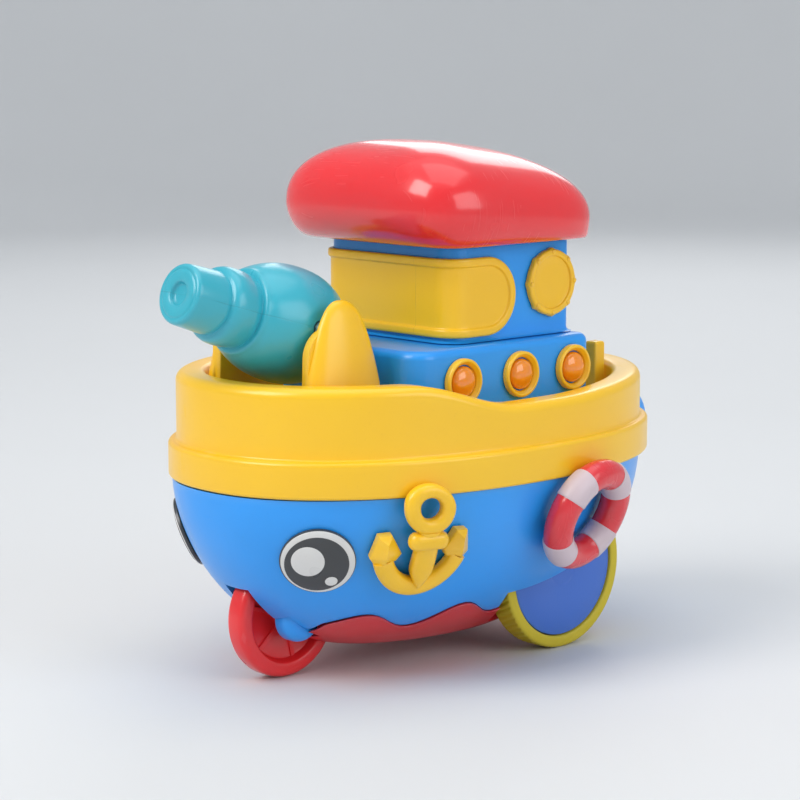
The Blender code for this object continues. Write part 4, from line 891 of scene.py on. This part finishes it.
def make_lifebuoys():
    flat = math.cos(BUOY_LEAN)
    normal = Vector((-math.sin(BUOY_YAW) * flat, math.cos(BUOY_YAW) * flat, -math.sin(BUOY_LEAN)))
    along = UP.cross(normal).normalized()
    turn = Matrix((along, normal.cross(along), normal)).transposed()
    for side, word in SIDES:
        flip = Matrix.Scale(-1, 4, (0, 1, 0)) if side < 0 else Matrix.Identity(4)
        place = flip @ Matrix.Translation(BUOY_AT) @ turn.to_4x4()
        ring = [(BUOY_R + BUOY_TUBE * math.cos(a), BUOY_TUBE * math.sin(a)) for a in around(32)]
        shells = [spun(ring, 112, place, closed=True)]
        for k in range(4):
            mid = math.radians(45 + 90 * k)
            rows = []
            steps = [(-1.0, -0.3), (-1.0, 0.1), (-0.97, 0.19), (-0.9, BAND_PROUD)]
            steps += [(-0.9 + 0.15 * i, BAND_PROUD) for i in range(1, 12)]
            steps += [(0.9, BAND_PROUD), (0.97, 0.19), (1.0, 0.1), (1.0, -0.3)]
            for share, lift in steps:
                a, tube = mid + share * BAND_HALF, BUOY_TUBE + lift
                row = []
                for b in around(40):
                    row.append(place @ polar(BUOY_R + tube * math.cos(b), a, tube * math.sin(b)))
                rows.append(row)
            shells.append(shell_of(rows, mat=1))
        name, node = f"ring_buoy_{word}", f"lifebuoy_{word}"
        make_piece(name, shells, "buoy_red", node, others=["buoy_band"], angle=50)


def tube_along(path, shape, side, at):
    """Rounded bar over points (u, v, half-width, low, high) of the anchor's plane."""
    rows = []
    for i, (u, v, half, low, high) in enumerate(path):
        before, after = path[max(i - 1, 0)], path[min(i + 1, len(path) - 1)]
        du, dv = after[0] - before[0], after[1] - before[1]
        size = math.hypot(du, dv) or 1.0
        nu, nv = -dv / size, du / size
        ring = []
        for b in around(28):
            across = half * signed_power(math.cos(b), shape)
            out = (low + high) / 2 + (high - low) / 2 * signed_power(math.sin(b), shape)
            ring.append(draped(at, u + nu * across, v + nv * across, out, side))
        rows.append(ring)
    return shell_of(rows)


def make_anchors():
    for side, word in SIDES:
        at = ANCHOR_AT
        arms = []
        for i in range(41):
            a = math.radians(-158 + 136 * i / 40)
            arms.append((11.0 * math.cos(a), 0.2 + 13.2 * math.sin(a), 2.45, 0.5, 4.6))
        shank = [(0.0, 3.7, 2.9, 2.2, 6.4), (0.0, 0.0, 3.0, 1.6, 6.2), (0.0, -3.7, 3.1, 1.2, 6.0)]
        shank += [(0.0, -7.0, 3.1, 1.0, 5.9), (0.0, -8.4, 2.8, 1.0, 5.8), (0.0, -9.8, 2.1, 1.0, 5.7)]
        shank += [(0.0, -11.2, 1.2, 1.0, 5.5), (0.0, -12.3, 0.4, 1.5, 5.0), (0.0, -12.5, 0.1, 2.5, 4.0)]
        collar = []
        ends = (0.3, 0.6, 0.74, 0.86, 0.94, 0.985, 1.0)
        for share in (*(-share for share in reversed(ends)), 0.0, *ends):
            round_end = max(0.04, (1 - max(0.0, (abs(share) - 0.62) / 0.38) ** 2.0)) ** 0.5
            collar.append((5.3 * share, 1.1, 2.3 * round_end, 4.5 - 2.3 * round_end, 4.5 + 2.3 * round_end))
        ring_rows = []
        for a in around(72):
            row = []
            for b in around(24):
                reach = RING_R + RING_BAR * signed_power(math.cos(b), 0.8)
                u, v = reach * math.cos(a), ANCHOR_RING + reach * math.sin(a)
                row.append(draped(at, u, v, 4.4 + 2.0 * signed_power(math.sin(b), 0.8), side))
            ring_rows.append(row)
        arms = tube_along(arms, 0.85, side, at)
        joins = [tube_along(shank, 0.8, side, at), tube_along(collar, 0.85, side, at)]
        joins.append(shell_of(ring_rows, closed=True))
        for way in (-1, 1):
            outline = [(8.9, 2.3), (12.2, 2.1), (13.5, -4.1), (12.0, -6.1), (7.0, -5.0), (5.8, -3.0)]
            outline = [(way * u, v) for u, v in outline]
            middle = (way * 10.2, -1.5)
            rows = []
            for share, out in ((0.0, 0.6), (1.0, 0.6), (1.0, 2.6), (0.96, 2.95), (0.88, 3.2), (0.0, 5.2)):
                ring = []
                for (u0, v0), (u1, v1) in zip(outline, outline[1:] + outline[:1]):
                    for i in range(6):
                        u, v = u0 + (u1 - u0) * i / 6, v0 + (v1 - v0) * i / 6
                        pu = middle[0] + (u - middle[0]) * share
                        pv = middle[1] + (v - middle[1]) * share
                        if share == 0.0 and out > 1.0:
                            pv = min(max(v * 0.75, -4.5), 0.8)
                        ring.append(draped(at, pu, pv, out, side))
                rows.append(ring)
            joins.append(shell_of(rows))
        name, node = f"anchor_casting_{word}", f"anchor_{word}"
        make_piece(name, [arms], "trim_yellow", node, joins=joins, angle=42)


# -------------------- wheels
def wheel_place(x, y, z, side=1):
    """Local Z along +Y on port and along -Y on starboard."""
    return Matrix.Translation((x, y, z)) @ Matrix.Rotation(-side * math.pi / 2, 4, "X")


def make_front_wheel():
    r, w = FRONT_R, FRONT_HALF
    face = [(1.65, w), (3.1, w), (3.5, w - 0.4), (3.8, 0.9), (r - 5.3, 0.9), (r - 4.9, 1.1)]
    face += [(r - 4.2, w - 0.45), (r - 3.9, w - 0.1), (r - 3.5, w)]
    tread = [(r - 1.9 + dx, w - 1.9 + dz) for dx, dz in arc(0, 0, 1.9, 88, 8, 9)]
    half = face + tread
    profile = half + [(radius, -z) for radius, z in reversed(half)]
    place = wheel_place(FRONT_X, 0.0, FRONT_R)
    ribs = []
    for k in range(6):
        a = math.pi * k / 3 + 0.3
        c, s = math.cos(a), math.sin(a)
        rows = []
        for reach, top in ((3.2, 1.7), (r - 4.6, 1.3)):
            row = []
            flank = [(0.55, -top), (0.65, 0.0), (0.55, top)]
            for across, y in flank + [(-across, -y) for across, y in flank]:
                x, z = reach * c - across * s, reach * s + across * c
                row.append((FRONT_X + x, y, FRONT_R + z))
            rows.append(row)
        ribs.append(shell_of(rows))
    roller = [spun(profile, 112, place, closed=True)]
    make_piece("front_roller", roller, "wheel_red", "front_wheel", "front_wheel", joins=ribs)


def make_fork():
    legs = []
    for side, _ in SIDES:
        rows = []
        steps = [(0.5, FORK_IN), (0.0, FORK_IN + 0.5), (0.0, 6.6)]
        steps += [(3.4 - dx, FORK_OUT - 3.4 + dy) for dx, dy in arc(0, 0, 3.4, 8, 86, 9)]
        for inset, y in steps:
            ring = arc(FRONT_X, FRONT_R, FORK_R - inset, 180, 360, 40)
            ring += [(FRONT_X + FORK_R - inset, 25.0), (FRONT_X + FORK_R - inset, FORK_TOP)]
            ring += [(FRONT_X - FORK_R + inset, FORK_TOP), (FRONT_X - FORK_R + inset, 25.0)]
            rows.append([(x, side * y, z) for x, z in ring])
        legs.append(shell_of(rows))
    yoke = box((FRONT_X - 6.0, -6.0, FORK_TOP - 6.0), (FRONT_X + 6.0, 6.0, FORK_TOP - 0.2))
    bore = rod_y(FRONT_X, FRONT_R, 1.8, 1.4 - FORK_OUT, FORK_OUT - 1.4, 32)
    port, starboard = legs
    make_piece("wheel_fork", [port], "hull_blue", "front_fork", joins=[yoke, starboard], cuts=[bore])


def make_rear_wheels():
    rim = REAR_R - 3.3
    w = REAR_HALF
    for side, word in SIDES:
        place = wheel_place(REAR_X, side * (REAR_FACE - w), REAR_R, side)
        edge = [(REAR_R - 1.1, w, 0.0), (REAR_R - 0.55, w - 0.12, 0.0), (REAR_R - 0.18, w - 0.45, 0.2)]
        profile = [(rim, w - 0.5, 0.0), (rim + 0.15, w - 0.2, 0.0), (rim + 0.5, w - 0.05, 0.0)]
        profile += [(rim + 1.2, w, 0.0)] + edge
        profile += [(REAR_R, w - 1.0 - (2 * w - 2.0) * i / 12, 1.0) for i in range(13)]
        profile += [(radius, -z, cut) for radius, z, cut in reversed(edge)] + [(rim, -w, 0.0)]
        rows = []
        for radius, z, cut in profile:
            ring = []
            for a in around(432):
                tread = (math.cos(TREAD_TEETH * a + 1.5 * z) + 1) / 2
                reach = radius - TREAD_DEPTH * cut * tread ** 3
                ring.append(place @ polar(reach, a, z))
            rows.append(ring)
        tyre = [shell_of(rows, closed=True)]
        make_piece(f"tyre_{word}", tyre, "tyre_yellow", f"rear_tyre_{word}", "rear_axle", angle=50)
        face = rim - GAP
        disc = [(0.0, w - 1.9), (1.75, w - 1.9), (1.75, -w), (3.6, -w), (4.0, w - 2.6), (face - 2.0, w - 2.6)]
        disc += [(face - 2.0, 1.0 - w), (face, 1.0 - w), (face, w - 1.0), (face - 0.12, w - 0.72)]
        disc += [(face - 0.4, w - 0.6), (12.0, w - 0.6), (5.4, w - 0.6), (5.1, w - 0.68)]
        disc += [(4.9, w - 0.78), (4.6, w - 0.8), (0.0, w - 0.8)]
        disc = [spun(disc, 112, place)]
        make_piece(f"wheel_disc_{word}", disc, "disc_blue", f"rear_wheel_{word}", "rear_axle")


# -------------------- mechanism
def make_spring():
    rows = []
    for i in range(SPRING_TURNS * 28 + 1):
        a = 2 * math.pi * i / 28
        z = SPRING_LOW + SPRING_WIRE + (SPRING_HIGH - SPRING_LOW - 2 * SPRING_WIRE) * i / (SPRING_TURNS * 28)
        row = []
        for b in around(10):
            reach = SPRING_R + SPRING_WIRE * math.cos(b)
            row.append((SPRING_X + reach * math.cos(a), reach * math.sin(a), z + SPRING_WIRE * math.sin(b)))
        rows.append(row)
    spring = make_piece("return_spring", [shell_of(rows)], "steel", "press_spring")
    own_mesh(spring)


def dress_cad_nodes():
    """The nodes whose CAD shape stays get the finish of their material slot."""
    for row in frame["record"]["subparts"]:
        obj = frame["nodes"][row["node"]]
        obj.data.materials.clear()
        obj.data.materials.append(MATS[row["material_slot"]])
        obj.data.shade_smooth()
        obj.data.set_sharp_from_angle(angle=math.radians(30))


# -------------------- studio
def aimed(name, data, at, aim):
    """Lamp or camera at a point, looking at another."""
    obj = add_object(name, data)
    obj.location = at
    obj.rotation_euler = (Vector(aim) - Vector(at)).to_track_quat("-Z", "Y").to_euler()
    return obj


def make_floor():
    """Pale round floor that curves up into a wall all round the boat."""
    mat = bpy.data.materials.new("studio_floor")
    mat.use_nodes = True
    tree = mat.node_tree
    shader = tree.nodes["Principled BSDF"]
    place = add_node(tree, "ShaderNodeTexCoord").outputs["Object"]
    cloud = noise(tree, place, 3.0, 3.0)
    tree.links.new(mix(tree, cloud, FLOOR_DARK, FLOOR_PALE), shader.inputs["Base Color"])
    shader.inputs["Roughness"].default_value = 0.75
    profile = [(0.0, 0.0), (300.0, 0.0), (900.0, 0.0)]
    profile += [(1400.0 + dx, 600.0 + dz) for dx, dz in arc(0, 0, 600, 270, 355, 24)]
    profile += [(2010.0, 2600.0), (2050.0, 2600.0), (2050.0, -20.0), (0.0, -20.0)]
    floor = add_object("studio_floor", make_mesh("studio_floor", [spun(profile, 96, Matrix.Identity(4))]))
    floor.data.materials.append(mat)
    floor.data.shade_smooth()
    floor.data.set_sharp_from_angle(angle=math.radians(30))


def make_studio():
    make_floor()
    camera = bpy.data.cameras.new("camera")
    camera.lens, camera.sensor_width = CAMERA_LENS, CAMERA_SENSOR
    camera.shift_x, camera.shift_y = CAMERA_SHIFT
    camera.clip_start, camera.clip_end = 0.01, 50.0
    bpy.context.scene.camera = aimed("camera", camera, CAMERA_AT, CAMERA_AIM)
    for name, at, aim, size, power, colour in LIGHTS:
        light = bpy.data.lights.new(name, "AREA")
        light.shape, light.energy, light.color = "RECTANGLE", power, colour
        light.size, light.size_y = size
        aimed(name, light, at, aim)
    world = bpy.data.worlds.new("studio")
    world.use_nodes = True
    background = world.node_tree.nodes["Background"]
    background.inputs["Color"].default_value = SKY_COLOUR
    background.inputs["Strength"].default_value = SKY_STRENGTH
    bpy.context.scene.world = world
    bpy.context.scene.view_settings.view_transform = "Standard"


dress_cad_nodes()
make_hull_skin()
make_keel_skin()
make_screws()
make_deck()
make_cabin("deckhouse_body", "deckhouse", HOUSE, HOUSE_HOLE, DECK_TOP + GAP, HOUSE_TOP)
make_cabin("bridge_body", "bridge", BRIDGE, BRIDGE_HOLE, HOUSE_TOP + GAP, BRIDGE_TOP, flare=1.4)
make_portholes()
make_round_windows()
make_wrap_window()
make_roof()
make_cannon()
make_cheeks()
make_bitts()
make_stern_bulge()
make_eyes()
make_lifebuoys()
make_anchors()
make_front_wheel()
make_fork()
make_rear_wheels()
make_spring()
make_studio()
